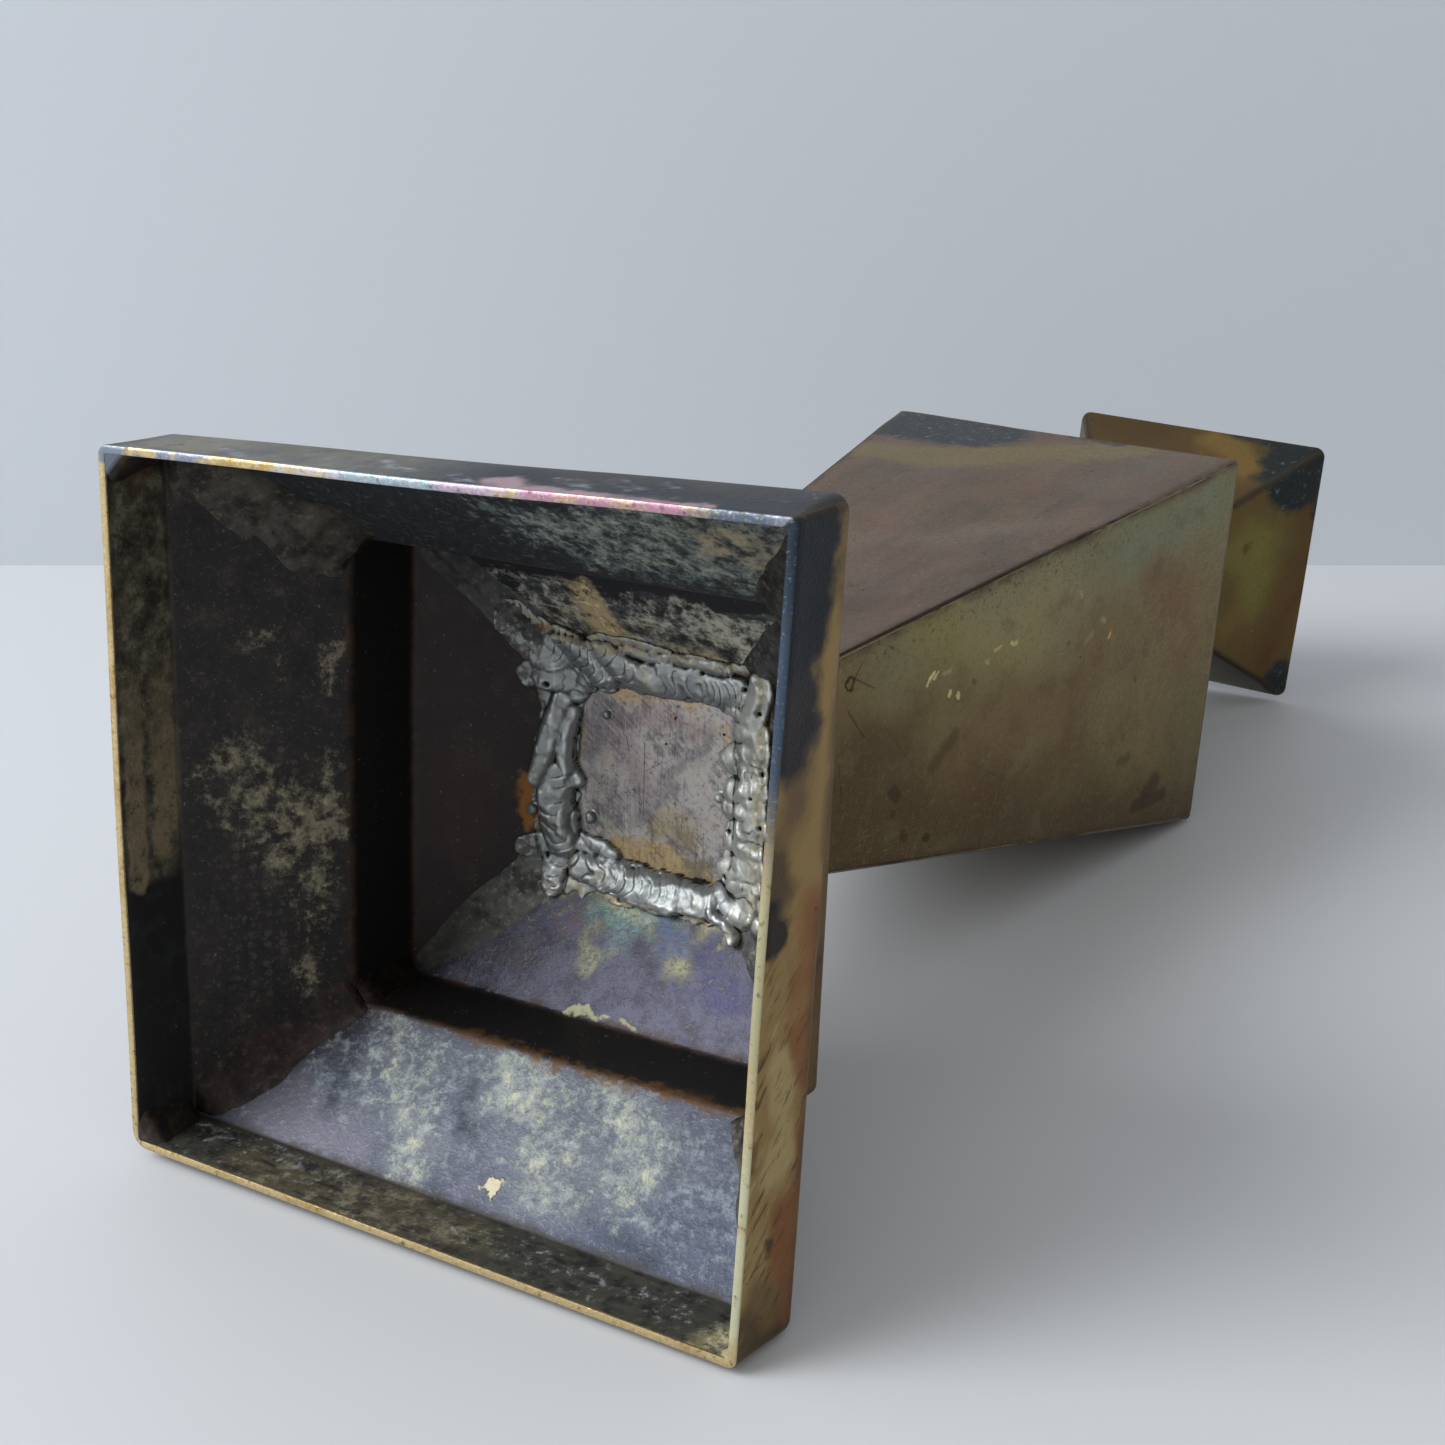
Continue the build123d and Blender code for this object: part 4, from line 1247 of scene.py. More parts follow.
class Underside(Look):
    """The inside of one side of the foot: heat-blackened, with pale flux crust in patches."""

    def __init__(self, side):
        super().__init__(f"foot_inside_{side}", tone(44, 40, 38), rough=0.55, metal=0.45)
        self.soft, self.edge, self.loose = (self.ragged(*given) for given in
                                            ((3.0, 11.0, 1), (1.4, 3.2, 2), (5.5, 13.0, 3)))
        self.skirt, self.upper = self.z.ramp(11.4, 10.2), self.z.ramp(42.0, 42.8)
        self.lower = self.z.ramp(10.4, 11.4) * self.z.ramp(29.8, 28.8)
        self.toe = self.x.size().most(self.y.size()).ramp(26, 20) * self.upper
        self.parts = {"lower": (self.lower, partial(on_lower, side)), "upper": (self.upper, on_roof),
                      "skirt": (self.skirt, partial(on_side, side, INNER_SKIRT))}
        self.cloud, self.grit = self.noise(12, 5, 0.6, seed=71), self.noise(1.7, 6, 0.72, seed=72)
        self.fine, self.coarse = self.noise(0.8, 4, 0.65, seed=73), self.noise(4.5, 6, 0.7, seed=74)
        self.veil = self.noise(2.6, 7, 0.75, seed=75)
        self.swept = self.noise(1.5, 6, 0.7, stretch=(4.5, 1, 1), seed=77)
        self.mottle(self.cloud, (0.48, 0.62, 0.8, (60, 46, 40)), (0.46, 0.34, 0.8, (30, 32, 34)))

    def crust(self, mask, colour, amount=0.5, strength=1.0, grain=None):
        """Pale crust that breaks up into specks; amount is how much of the face it covers."""
        level = CRUST_LEVEL - CRUST_SPREAD * amount
        speck = ((grain or self.grit) + (mask * 0.2 - 0.2)).ramp(level - 0.04, level + 0.16)
        self.coat(speck * self.veil.ramp(0.3, 0.62) * mask.ramp(0.0, 0.35) * strength, tone(*colour),
                  rough=0.7, metal=0.15, height=0.05)

    def patch(self, part, start, end, reach, core=0.5, at=None):
        """A patch on the lower slope, the upper slope or the skirt, between two places on it."""
        where, place = self.parts[part]
        return where * self.near(place(*start), place(*end), reach, core, at or self.soft)

    def stains(self, part, at, *table):
        for start, end, reach, core, strength, colour in table:
            self.coat(self.patch(part, start, end, reach, core, at) * strength, tone(*colour))

    def scratches(self, *table):
        for start, end, strength in table:
            mask = self.patch("upper", start, end, 0.26, 0.05, self.square) * self.coarse.ramp(0.35, 0.6)
            self.coat(mask * strength, tone(176, 168, 152), rough=0.5, height=-0.05)

    def blacken(self):
        """Black riser and skirt."""
        self.coat(self.z.ramp(28.9, 30.2) * self.z.ramp(43.0, 41.8) * 0.85, tone(24, 22, 22), rough=0.6)
        self.coat(self.skirt, tone(40, 40, 40))

    def finished(self, rust):
        """Rust along the bends, dust and grain everywhere."""
        rusty = self.noise(3.2, 5, 0.65, seed=78)
        for z, colour in ((29.4, (104, 72, 46)), (42.4, (88, 64, 46)), (11.0, (70, 64, 56))):
            bend = (self.z - z).size().ramp(1.1, 0.2)
            self.coat(bend * rusty.ramp(0.4, 0.58) * rust, tone(*colour), rough=0.7)
        dust = self.noise(0.5, 2, 0.5, seed=79)
        self.coat(dust.ramp(0.69, 0.74) * self.coarse.ramp(0.4, 0.6) * 0.7, tone(128, 130, 132), rough=0.8,
                  metal=0.0)
        self.coat(self.grit, height=0.10)
        self.coat(self.fine, height=0.05)
        return self.done()


# crust clouds and dark gaps on the back's lower slope: places as (across, depth), reach
BACK_CLOUDS = (((-22, 0.85), (-12, 0.2), 9.5), ((-2, 0.8), (10, 0.2), 10), ((12, 0.9), (22, 0.45), 9))
BACK_GAPS = (((-6, 0.95), (-4, 0.1), 3.2), ((16, 0.2), (30, 0.1), 4), ((-32, 0.9), (-28, 0.3), 3.5))
# temper colours on its upper slope: x, y, reach, sRGB colour
BACK_BLOOMS = (
    (-2, 22.5, 6.2, (94, 120, 114)), (6, 22, 5.2, (64, 82, 110)), (8, 26.5, 3.6, (112, 110, 88)),
    (-12, 23, 5.6, (102, 58, 54)), (-6, 27, 3.6, (108, 108, 90)), (1, 21, 3.6, (148, 154, 132)),
    (-20, 27, 5.5, (62, 58, 62)), (15, 26, 5.6, (54, 54, 84)), (11, 21.5, 3.6, (142, 134, 110)),
)


def back_lower(look):
    """Blue-grey, with soft pale crust in clouds and a dark left corner."""
    look.coat(look.lower, tone(84, 88, 102), rough=0.5, metal=0.5)
    look.mottle(look.cloud, (0.4, 0.6, 0.6, (108, 108, 124)), where=look.lower, rough=0.45)
    look.mottle(look.coarse, (0.52, 0.36, 0.4, (62, 68, 86)), where=look.lower)
    look.stains("lower", look.soft, ((-36, 0.2), (-24, 0.1), 9, 3, 0.6, (116, 113, 126)),
                ((26, 0.1), (46, 0.3), 12, 3, 0.6, (66, 74, 94)),
                ((-54, 0.2), (-37, 1.0), 13, 4, 1.0, (44, 37, 35)))
    wide = look.patch("lower", (-28, 0.6), (40, 0.5), 15, 3, look.loose)
    look.crust(wide, (156, 166, 176), 0.8, 0.8, look.grit)
    look.crust(wide, (48, 56, 72), 0.5, 0.75, look.coarse)
    for start, end, reach in BACK_CLOUDS:
        cloudy = look.patch("lower", start, end, reach, 0.5, look.loose)
        look.coat(cloudy * look.veil.ramp(0.3, 0.6) * 0.35, tone(160, 168, 172), rough=0.6, metal=0.3)
        look.crust(cloudy, (178, 186, 184), 0.95, 0.85, look.grit)
        look.crust(cloudy, (210, 212, 188), 0.66, 0.9, look.veil)
        look.crust(cloudy, (228, 232, 222), 0.56, 0.85, look.fine)
    look.crust(look.lower, (150, 160, 172), 0.5, 0.8, look.fine)
    for start, end, reach in BACK_GAPS:
        gap = look.patch("lower", start, end, reach, 0.3, look.loose) * look.coarse.ramp(0.36, 0.56)
        look.coat(gap * 0.8, tone(56, 62, 78), rough=0.5)
    flake = look.patch("lower", (2.0, 0.15), (3.0, 0.1), 1.4, 1.1, look.edge)
    look.coat(flake, tone(216, 206, 176), rough=0.6, metal=0.1, height=0.2)


def back_skirt(look):
    """Black with an olive-brown wash, grey crust and a sulphur-yellow corner."""
    look.mottle(look.veil, (0.36, 0.56, 0.8, (84, 82, 74)), where=look.skirt * look.x.ramp(-50, -42))
    brown = look.patch("skirt", (-30, 3), (4, 5), 8, 3)
    look.coat(brown * look.swept.ramp(0.36, 0.62) * 0.8, tone(108, 100, 78))
    look.mottle(look.swept, (0.46, 0.66, 0.7, (88, 92, 78)), where=look.skirt * look.x.ramp(0, 16))
    look.crust(brown, (150, 142, 118), 0.66, 0.7, look.veil)
    look.crust(look.skirt, (160, 162, 158), 0.44, 0.7)
    for start, end, reach, amount in (((-44, 8), (-20, 8), 5, 0.56), ((4, 6), (36, 6), 6, 0.52)):
        look.crust(look.patch("skirt", start, end, reach, 1, look.edge), (190, 194, 198), amount, 0.8)
    sulphur = look.near((44.5, INNER_SKIRT, 3), (48, INNER_SKIRT, 12), 6.0, 0.5, look.soft)
    look.coat(sulphur * look.veil.ramp(0.36, 0.52), tone(168, 162, 122), rough=0.65, metal=0.3)
    look.coat(sulphur * look.grit.ramp(0.48, 0.6), tone(214, 206, 174), rough=0.65, metal=0.2)


def back_upper(look):
    """Violet-grey temper colours with teal, olive, navy and maroon blooms by the weld."""
    look.coat(look.upper, tone(70, 70, 84), rough=0.42, metal=0.7)
    look.mottle(look.coarse, (0.42, 0.62, 0.75, (42, 40, 52)), where=look.upper, rough=0.4)
    for x, y, reach, colour in BACK_BLOOMS:
        spot = look.patch("upper", (x - 1, y), (x + 1, y), reach, 0.5, look.loose)
        look.coat(spot * look.veil.ramp(0.3, 0.56), tone(*colour))
    look.crust(look.toe, (168, 166, 142), 0.66, 0.8, look.veil)
    look.crust(look.upper, (150, 152, 150), 0.5, 0.7, look.fine)
    look.coat(look.patch("upper", (-36, 33.4), (36, 33.4), 2.0, 0.4, look.edge) * 0.8, tone(30, 24, 24))
    cream = look.patch("upper", (-6, 33.2), (6, 33.2), 0.7, 0.3, look.edge)
    look.coat(cream, tone(176, 176, 142), rough=0.6, metal=0.2)
    look.scratches(((-30, 26), (-24, 24), 0.5))


def inside_back_look():
    """Lowest in the photograph, and the brightest side."""
    look = Underside("back")
    back_lower(look)
    look.blacken()
    back_skirt(look)
    back_upper(look)
    glow = look.near((-14, INNER_RISER, 29.5), (33, INNER_RISER, 29.5), 2.2, 0.3, look.edge)
    look.coat(glow * look.veil.ramp(0.4, 0.56) * 0.85, tone(112, 82, 46), rough=0.6)
    return look.finished(0.5)


def inside_front_look():
    """Highest in the photograph: navy-black on the left, mottled grey-green and cream to the right."""
    look = Underside("front")
    look.coat(look.lower, tone(46, 49, 52))
    look.mottle(look.coarse, (0.5, 0.64, 0.5, (62, 66, 66)), where=look.lower)
    patch = look.patch("lower", (8, 0.55), (48, 0.5), 16, 4, look.loose)
    look.crust(patch, (108, 123, 122), 0.88, 0.85, look.veil)
    look.crust(patch, (176, 182, 166), 0.74, 0.9)
    look.crust(patch, (200, 198, 176), 0.54, 0.85, look.fine)
    look.crust(look.patch("lower", (30, 0.35), (42, 0.45), 8, 2), (176, 158, 128), 0.9, 0.85, look.veil)
    look.crust(look.lower, (92, 100, 106), 0.5, 0.75, look.fine)
    look.blacken()
    look.mottle(look.swept, (0.46, 0.62, 0.7, (70, 66, 58)), where=look.skirt)
    look.coat(look.upper, tone(45, 47, 50), rough=0.5)
    smears = look.patch("upper", (-20, -23.5), (24, -23.5), 9, 4)
    look.crust(smears, (134, 135, 132), 0.72, 0.85, look.swept)
    look.crust(smears, (208, 203, 188), 0.66, 0.9, look.veil)
    look.crust(look.toe, (196, 182, 150), 0.84, 0.85, look.coarse)
    bright_end = look.patch("upper", (12, -25), (24, -21.5), 8, 3)
    look.crust(bright_end, (210, 206, 190), 0.88, 0.9, look.veil)
    look.crust(bright_end, (120, 134, 128), 0.5, 0.8, look.coarse)
    tan = look.patch("upper", (-7.5, -27), (-6, -20), 4.0, 1.4, look.edge)
    look.coat(tan * look.veil.ramp(0.34, 0.54), tone(188, 166, 124), rough=0.7, metal=0.1)
    look.coat(tan * look.grit.ramp(0.52, 0.62), tone(216, 198, 156), rough=0.7, metal=0.1)
    look.scratches(((-21, -24), (3, -23.4), 0.8), ((-18, -28.8), (-4, -28.6), 0.5),
                   ((-4, -23.8), (16, -22.4), 0.5), ((-11, -27), (-8.5, -22.5), 0.6))
    return look.finished(0.35)


# cream veil on the left's lower slope: places as (across, depth), reach, amount
LEFT_VEIL = (
    ((-17, 0.95), (-10, 0.85), 4.5, 0.95), ((-3, 0.35), (8, 0.75), 8, 0.9), ((8, 0.6), (22, 0.7), 8, 0.7),
    ((20, 0.6), (34, 0.8), 7, 0.62), ((-40, 0.3), (-36, 0.4), 4, 0.8), ((-22, 0.35), (-16, 0.45), 6, 0.55),
)
# tongues of wash that end lowest on its skirt: z, reach, where they end
LEFT_TONGUES = ((2.9, 2.3, 11.5), (7.6, 2.0, 8.0), (9.8, 1.7, 5.0))


def inside_left_look():
    """Red-brown black with a cream veil in patches; an olive wash dripped down inside the skirt."""
    look = Underside("left")
    look.coat(look.lower, tone(40, 36, 35))
    look.mottle(look.coarse, (0.5, 0.66, 0.6, (66, 58, 54)), (0.46, 0.32, 0.7, (22, 20, 22)),
                where=look.lower)
    look.crust(look.lower, (104, 100, 86), 0.3, 0.6, look.coarse)
    for start, end, reach, amount in LEFT_VEIL:
        patch = look.patch("lower", start, end, reach, 0.5, look.loose)
        look.crust(patch, (142, 135, 114), amount, 0.9, look.veil)
        look.crust(patch, (182, 170, 140), amount * 0.85, 0.85)
    rusty_spot = look.patch("lower", (-43, 0.12), (-41, 0.2), 2.6, 0.4, look.edge)
    look.coat(rusty_spot * look.grit.ramp(0.4, 0.55), tone(140, 104, 70), rough=0.7, metal=0.2)
    dotted = look.patch("lower", (-2, 0.35), (26, 0.4), 9, 3)
    look.coat(dotted * look.hammered(1.5) * look.grit.ramp(0.4, 0.6) * 0.35, tone(104, 102, 94), height=0.05)
    look.crust(look.lower, (92, 94, 94), 0.42, 0.7, look.fine)
    look.blacken()
    look.mottle(look.coarse, (0.48, 0.62, 0.6, (54, 56, 60)), where=look.skirt)
    wash = look.patch("skirt", (-40, 6), (8, 6), 6.6, 4.4, look.edge).least(look.y.ramp(13.0, 11.5))
    look.coat(wash * look.veil.ramp(0.3, 0.54) * 0.9, tone(98, 93, 76), rough=0.6, height=0.06)
    look.mottle(look.coarse, (0.48, 0.34, 0.7, (48, 46, 42)), where=wash * look.y.ramp(0, -20))
    look.crust(wash, (144, 136, 112), 0.62, 0.8, look.veil)
    run_down, crisp = look.y.ramp(-24, 2), look.ragged(0.6, 3.0, 4)
    for z, reach, end in LEFT_TONGUES:
        drip = look.patch("skirt", (-22, z), (end, z), reach, reach - 0.9, crisp) * run_down
        look.coat(drip * look.veil.ramp(0.22, 0.46) * 0.9, tone(148, 133, 105), rough=0.6, height=0.08)
        look.coat(drip * look.grit.ramp(0.46, 0.34) * 0.8, tone(52, 46, 40), rough=0.7)
    look.stains("skirt", look.edge, ((-49, 5), (-45, 5), 5, 1, 0.7, (104, 74, 52)))
    look.coat(look.upper, tone(38, 32, 31), rough=0.5)
    look.mottle(look.coarse, (0.5, 0.66, 0.5, (58, 48, 44)), where=look.upper)
    look.stains("upper", look.soft, ((-29, 2), (-27, 12), 7, 1, 0.6, (54, 35, 34)))
    look.crust(look.toe, (96, 88, 76), 0.5, 0.6, look.veil)
    rust = look.patch("upper", (-20.2, 4.5), (-20.0, 9.5), 2.2, 0.8, look.edge)
    look.coat(rust, tone(140, 92, 40), rough=0.8, metal=0.1)
    return look.finished(0.3)


def inside_right_look():
    """Hidden in the photograph: like its neighbours, without particular marks."""
    look = Underside("right")
    look.crust(look.lower, (120, 122, 112), 0.46, 0.8)
    look.blacken()
    look.crust(look.skirt, (112, 104, 84), 0.5, 0.7)
    look.coat(look.upper, tone(60, 54, 50))
    look.crust(look.upper, (150, 140, 118), 0.4, 0.7)
    look.crust(look.toe, (170, 160, 130), 0.6, 0.8, look.veil)
    return look.finished(0.4)


# where the front rim changes colour: x from, x to, sRGB colour
FRONT_RIM = ((-22, -12, (188, 190, 202)), (-8, 0, (150, 168, 180)), (6, 16, (176, 158, 180)),
             (18, 36, (176, 132, 152)), (40, 47, (96, 108, 124)))


def cut_edge_look():
    """Filed sheet edges: brushed gold; blue, straw and rose at the front; steel-blue, then cream, right."""
    look = Look("cut_edge", tone(198, 176, 130), rough=0.34, metal=0.92)
    cloud, brushed = look.noise(8, 3, 0.6, seed=81), look.noise(0.5, 3, 0.6, seed=83)
    nicks = look.noise(1.2, 4, 0.65, seed=82)
    shaken, crisp = look.ragged(2.0, 5.0, 3), look.ragged(0.5, 1.5, 4)
    half = BASE_HALF
    front, right = look.side("front"), look.side("right")
    look.mottle(cloud, (0.5, 0.62, 0.7, (176, 146, 94)))
    look.coat(front * cloud.ramp(0.52, 0.42), tone(134, 140, 158), rough=0.38)
    for start, end, colour in FRONT_RIM:
        patch = look.near((start, -half, 0), (end, -half, 0), 4.0, 1.5, shaken)
        look.coat(front * patch * cloud.ramp(0.62, 0.46), tone(*colour), rough=0.4, metal=0.7)
    look.mottle(brushed, (0.5, 0.7, 0.4, (226, 212, 176)), (0.45, 0.3, 0.4, (120, 104, 76)))
    look.coat(right * look.y.ramp(-16, -4) * look.y.ramp(22, 4), tone(186, 180, 144), rough=0.4)
    look.coat(right * look.y.ramp(10, 30) * cloud.ramp(0.3, 0.5), tone(190, 188, 158), rough=0.55, metal=0.5)
    look.coat(right * look.y.ramp(-6, -24), tone(66, 80, 98), rough=0.36, metal=0.8)
    look.coat(right * look.y.ramp(-34, -48) * 0.8, tone(40, 46, 56), rough=0.4)
    look.coat(right * look.y.ramp(-4, -14) * brushed.ramp(0.56, 0.7) * 0.5, tone(130, 146, 162))
    filed = look.near((-half, -half, 0), (-half + 1.5, -half + 1.5, 0), 3.4, 2.4, crisp)
    look.coat(filed, tone(126, 136, 148), rough=0.38)
    look.coat(nicks.ramp(0.56, 0.72) * 0.75, tone(92, 76, 52), rough=0.5)
    look.coat(nicks, height=0.10)
    return look.done()


# rust, straw and pale flux round the weld, in plan: start, end, reach, core, strength, sRGB colour
WELD_STAINS = (
    ((-18.4, 3.6), (-18.6, 9.5), 1.5, 0.2, 1.0, (168, 104, 42)),
    ((-11.5, -14.2), (-9.2, -13.6), 1.1, 0.2, 1.0, (196, 142, 50)),
    ((-0.5, -17.0), (4.5, -17.4), 1.5, 0.2, 1.0, (158, 116, 62)),
    ((3.0, -18.8), (13.0, -18.4), 1.2, 0.2, 1.0, (110, 70, 52)),
    ((-21.0, -21.5), (-14.5, -20.0), 1.3, 0.2, 1.0, (136, 84, 58)),
    ((18.8, 12.4), (18.4, 15.4), 1.9, 0.2, 1.0, (206, 196, 160)),
    ((-5.5, 19.2), (-2.5, 19.4), 1.1, 0.2, 1.0, (196, 172, 128)),
    ((6.5, 18.6), (11.5, 18.8), 1.1, 0.2, 1.0, (180, 156, 124)),
    ((-10.0, -17.6), (-4.0, -19.2), 2.2, 0.4, 1.0, (182, 166, 124)),
    ((-15.2, -15.6), (-13.6, -14.6), 1.0, 0.2, 1.0, (110, 76, 50)),
    ((-13.0, 17.4), (-7.0, 17.8), 1.4, 0.2, 1.0, (92, 66, 58)),
    ((15.0, -18.4), (19.0, -17.6), 1.6, 0.2, 1.0, (120, 84, 60)),
    ((-19.6, -10.5), (-18.2, -4.0), 1.5, 0.2, 1.0, (126, 116, 92)),
    ((17.0, -14.0), (18.0, -17.0), 1.6, 0.2, 1.0, (168, 164, 138)),
    ((-2.0, -18.6), (2.0, -18.8), 1.4, 0.2, 1.0, (150, 138, 110)),
    ((17.6, -8.0), (18.4, 8.0), 1.6, 0.2, 0.8, (196, 194, 176)),
)


def weld_look():
    """Bare filler: satin silver scales, painted shade in creases and hollows, painted highlight on crowns,
    with rust, straw and pale flux where it ran.
    """
    look = Look("weld_metal", tone(160, 164, 165), rough=0.44, metal=0.8)
    hollow, soft = look.value("hollow"), look.ragged(1.2, 4.0, 1)
    tint, streaks = look.noise(5, 4, 0.6, seed=91), look.noise(1.1, 4, 0.65, seed=93)
    look.mottle(tint, (0.5, 0.66, 0.7, (138, 142, 142)), (0.46, 0.34, 0.6, (168, 164, 148)))
    look.mottle(streaks, (0.5, 0.7, 0.5, (110, 114, 116)), rough=0.52)
    left, right = look.side("left"), look.side("right")
    look.coat(left * 0.5, tone(120, 126, 126), rough=0.38)
    look.coat(right * tint.ramp(0.3, 0.6), tone(186, 188, 182), rough=0.5, metal=0.6)
    look.mottle(streaks, (0.5, 0.66, 0.6, (192, 190, 172)), where=right, rough=0.6, metal=0.3)
    olive = look.near(on_roof(-15.8, 4), on_roof(-15, 11), 3.4, 1, soft)
    look.mottle(tint, (0.35, 0.6, 0.7, (140, 130, 98)), where=olive)
    flux = look.x.size().most(look.y.size()).ramp(17.2, 19.2) * streaks.ramp(0.4, 0.56)
    look.coat(flux * left.flip() * 0.85, tone(170, 160, 132), rough=0.7, metal=0.2)
    look.coat(flux * left * 0.7, tone(72, 66, 56), rough=0.7, metal=0.3)
    look.patches(streaks.ramp(0.35, 0.5), on_roof, soft, WELD_STAINS, rough=0.65, metal=0.4)
    # painted shade: dark along the laps between scales and along the edges of the runs
    look.coat(look.value("crease").ramp(0.25, 0.8) * 0.8, tone(56, 56, 54), rough=0.55)
    # painted shade in the hollows of the filler, where it lies below its surroundings
    look.coat(hollow.ramp(0.14, 0.6), tone(36, 36, 35), rough=0.6, metal=0.5)
    # painted highlight on the crowns, where the filler stands above its surroundings
    look.coat(hollow.ramp(-0.12, -0.6) * 0.6, tone(214, 218, 218), rough=0.32, metal=0.9)
    look.coat(look.noise(0.5, 4, 0.6, seed=92), height=0.03)
    look.coat(streaks, height=0.04)
    return look.done()


# on the floor plate places are x, y
PLATE_PATCHES = (
    ((-7, -12.2), (6, -12.2), 2.2, 0.2, 0.7, (186, 156, 102)),
    ((11, -9.4), (14.4, -5.4), 1.9, 0.2, 0.7, (186, 152, 98)),
    ((-7, 11.3), (10, 13.4), 2.6, 0.6, 0.85, (182, 154, 100)),
    ((-12.6, -6), (-12.8, 2), 1.8, 0.2, 0.7, (172, 144, 106)),
    ((6.5, 12), (9, 12), 2.2, 0.4, 0.85, (116, 112, 94)), ((1, 7), (5, 7), 4.4, 0.6, 0.75, (150, 138, 100)),
    ((-3, 7), (9, -7), 2.4, 0.1, 0.7, (112, 112, 116)),
    ((-8.6, 8.4), (-6, 9), 2.0, 0.2, 0.7, (170, 172, 156)),
    ((-11, -2), (-9, -9), 4.2, 0.4, 0.8, (112, 108, 116)),
    ((12.5, 5), (13, 9), 1.4, 0.1, 0.6, (176, 150, 118)),
    ((-6, -5), (-3, 2), 4.0, 0.4, 0.6, (134, 120, 124)),
    ((-2, -9), (8, -8), 2.8, 0.3, 0.6, (136, 118, 118)), ((-9, 2), (-7, 6), 3.0, 0.2, 0.5, (108, 104, 106)),
)
PLATE_SCRATCHES = (
    ((-1.8, -4.6), (-1.7, 6.2), (84, 76, 72)), ((-1.4, -0.6), (1.0, -2.2), (84, 74, 70)),
    ((-5, -5.2), (-4.4, -3.0), (70, 62, 60)), ((5.4, -0.4), (9.0, -4.2), (168, 160, 152)),
    ((0.8, 3.2), (4.0, 0.0), (160, 152, 144)),
)
PLATE_PITS = ((11.2, -8.3, 0.34), (-8.9, 1.9, 0.3), (-7.0, -5.2, 0.2), (3.4, -9.4, 0.2), (1.9, -5.3, 0.22))


def plate_look():
    """The floor plate: mauve-grey brass, brushed and scratched, with a golden margin and an olive patch."""
    look = Look("plate_metal", tone(172, 168, 166), rough=0.42, metal=0.8)
    soft, edge = look.ragged(1.6, 4.0, 1), look.ragged(0.5, 2.0, 2)
    cloud, grain = look.noise(4, 5, 0.65, seed=101), look.noise(0.7, 5, 0.7, seed=105)
    look.mottle(cloud, (0.48, 0.64, 0.9, (112, 107, 111)), (0.46, 0.34, 0.7, (178, 166, 152)))
    look.patches(None, on_plate, soft, PLATE_PATCHES)
    look.mottle(grain, (0.5, 0.66, 0.6, (102, 92, 88)), (0.45, 0.32, 0.5, (190, 178, 162)))
    lengthwise = look.noise(0.3, 2, 0.5, stretch=(1, 16, 1), seed=103)
    across = look.noise(0.3, 2, 0.5, stretch=(1, 12, 1), seed=108, at=look.slanted(0.9, "Z_AXIS"))
    for lines in (lengthwise, across):
        look.coat(lines.ramp(0.55, 0.66) * cloud.ramp(0.3, 0.6) * 0.45, tone(94, 84, 82))
        look.coat(lines.ramp(0.44, 0.32) * cloud.ramp(0.35, 0.6) * 0.32, tone(192, 180, 168))
        look.coat(lines, height=0.012)
    marks = look.noise(0.9, 3, 0.6, seed=104)
    look.coat(marks.ramp(0.62, 0.70) * cloud.ramp(0.3, 0.5) * 0.6, tone(74, 66, 62), rough=0.55)
    for start, end, colour in PLATE_SCRATCHES:
        look.coat(look.near(on_plate(*start), on_plate(*end), 0.13, 0.02) * 0.6, tone(*colour), height=-0.03)
    for x, y, reach in PLATE_PITS:
        pit = look.near(on_plate(x, y), on_plate(x + 0.1, y), reach, 0.1, edge)
        look.coat(pit, tone(34, 28, 26), rough=0.7, height=-0.3)
    return look.done()


def filler_look(name, base, dark, pale, seed, soot=None):
    """Brazing filler: smeared, crusted, with painted shade in the dips. It blackens between the two heights
    in soot.
    """
    look = Look(name, tone(*base), rough=0.48, metal=0.7)
    crust = look.noise(1.2, 5, 0.7, seed=seed + 1)
    look.coat(look.noise(4, 5, 0.65, seed=seed).ramp(0.42, 0.62), tone(*dark), rough=0.55)
    look.coat(crust.ramp(0.5, 0.72) * 0.8, tone(*pale), rough=0.6, metal=0.5)
    if soot:
        look.coat(look.z.ramp(*soot) * 0.75, tone(*dark), rough=0.6, metal=0.4)
    # painted shade: near-black where the crust noise is low, which are the dips of its bump
    look.coat(crust.ramp(0.42, 0.28) * 0.7, tone(26, 24, 24), rough=0.7)
    look.coat(crust, height=0.08)
    look.coat(look.noise(0.45, 3, 0.6, seed=seed + 2), height=0.04)
    return look.done()


def solder_look():
    """Filler in the skirt's corners: dark and browned, silver where it was filed flush with the rim."""
    look = Look("corner_solder", tone(44, 40, 37), rough=0.5, metal=0.5)
    grain = look.noise(0.9, 5, 0.7, seed=152)
    look.mottle(look.noise(3.5, 5, 0.65, seed=151), (0.5, 0.66, 0.8, (84, 64, 46)), rough=0.6)
    look.mottle(grain, (0.5, 0.72, 0.4, (96, 90, 78)), rough=0.6)
    filed = look.z.ramp(0.6, 0.3) * look.x.ramp(5, -5) * look.y.ramp(5, -5)
    sulphur = look.x.ramp(-5, 5) * look.y.ramp(-5, 5) * grain.ramp(0.35, 0.55)
    look.coat(filed, tone(104, 112, 122), rough=0.4, metal=0.9)
    look.coat(sulphur, tone(186, 178, 140), rough=0.65, metal=0.2)
    look.coat(grain, height=0.06)
    return look.done()


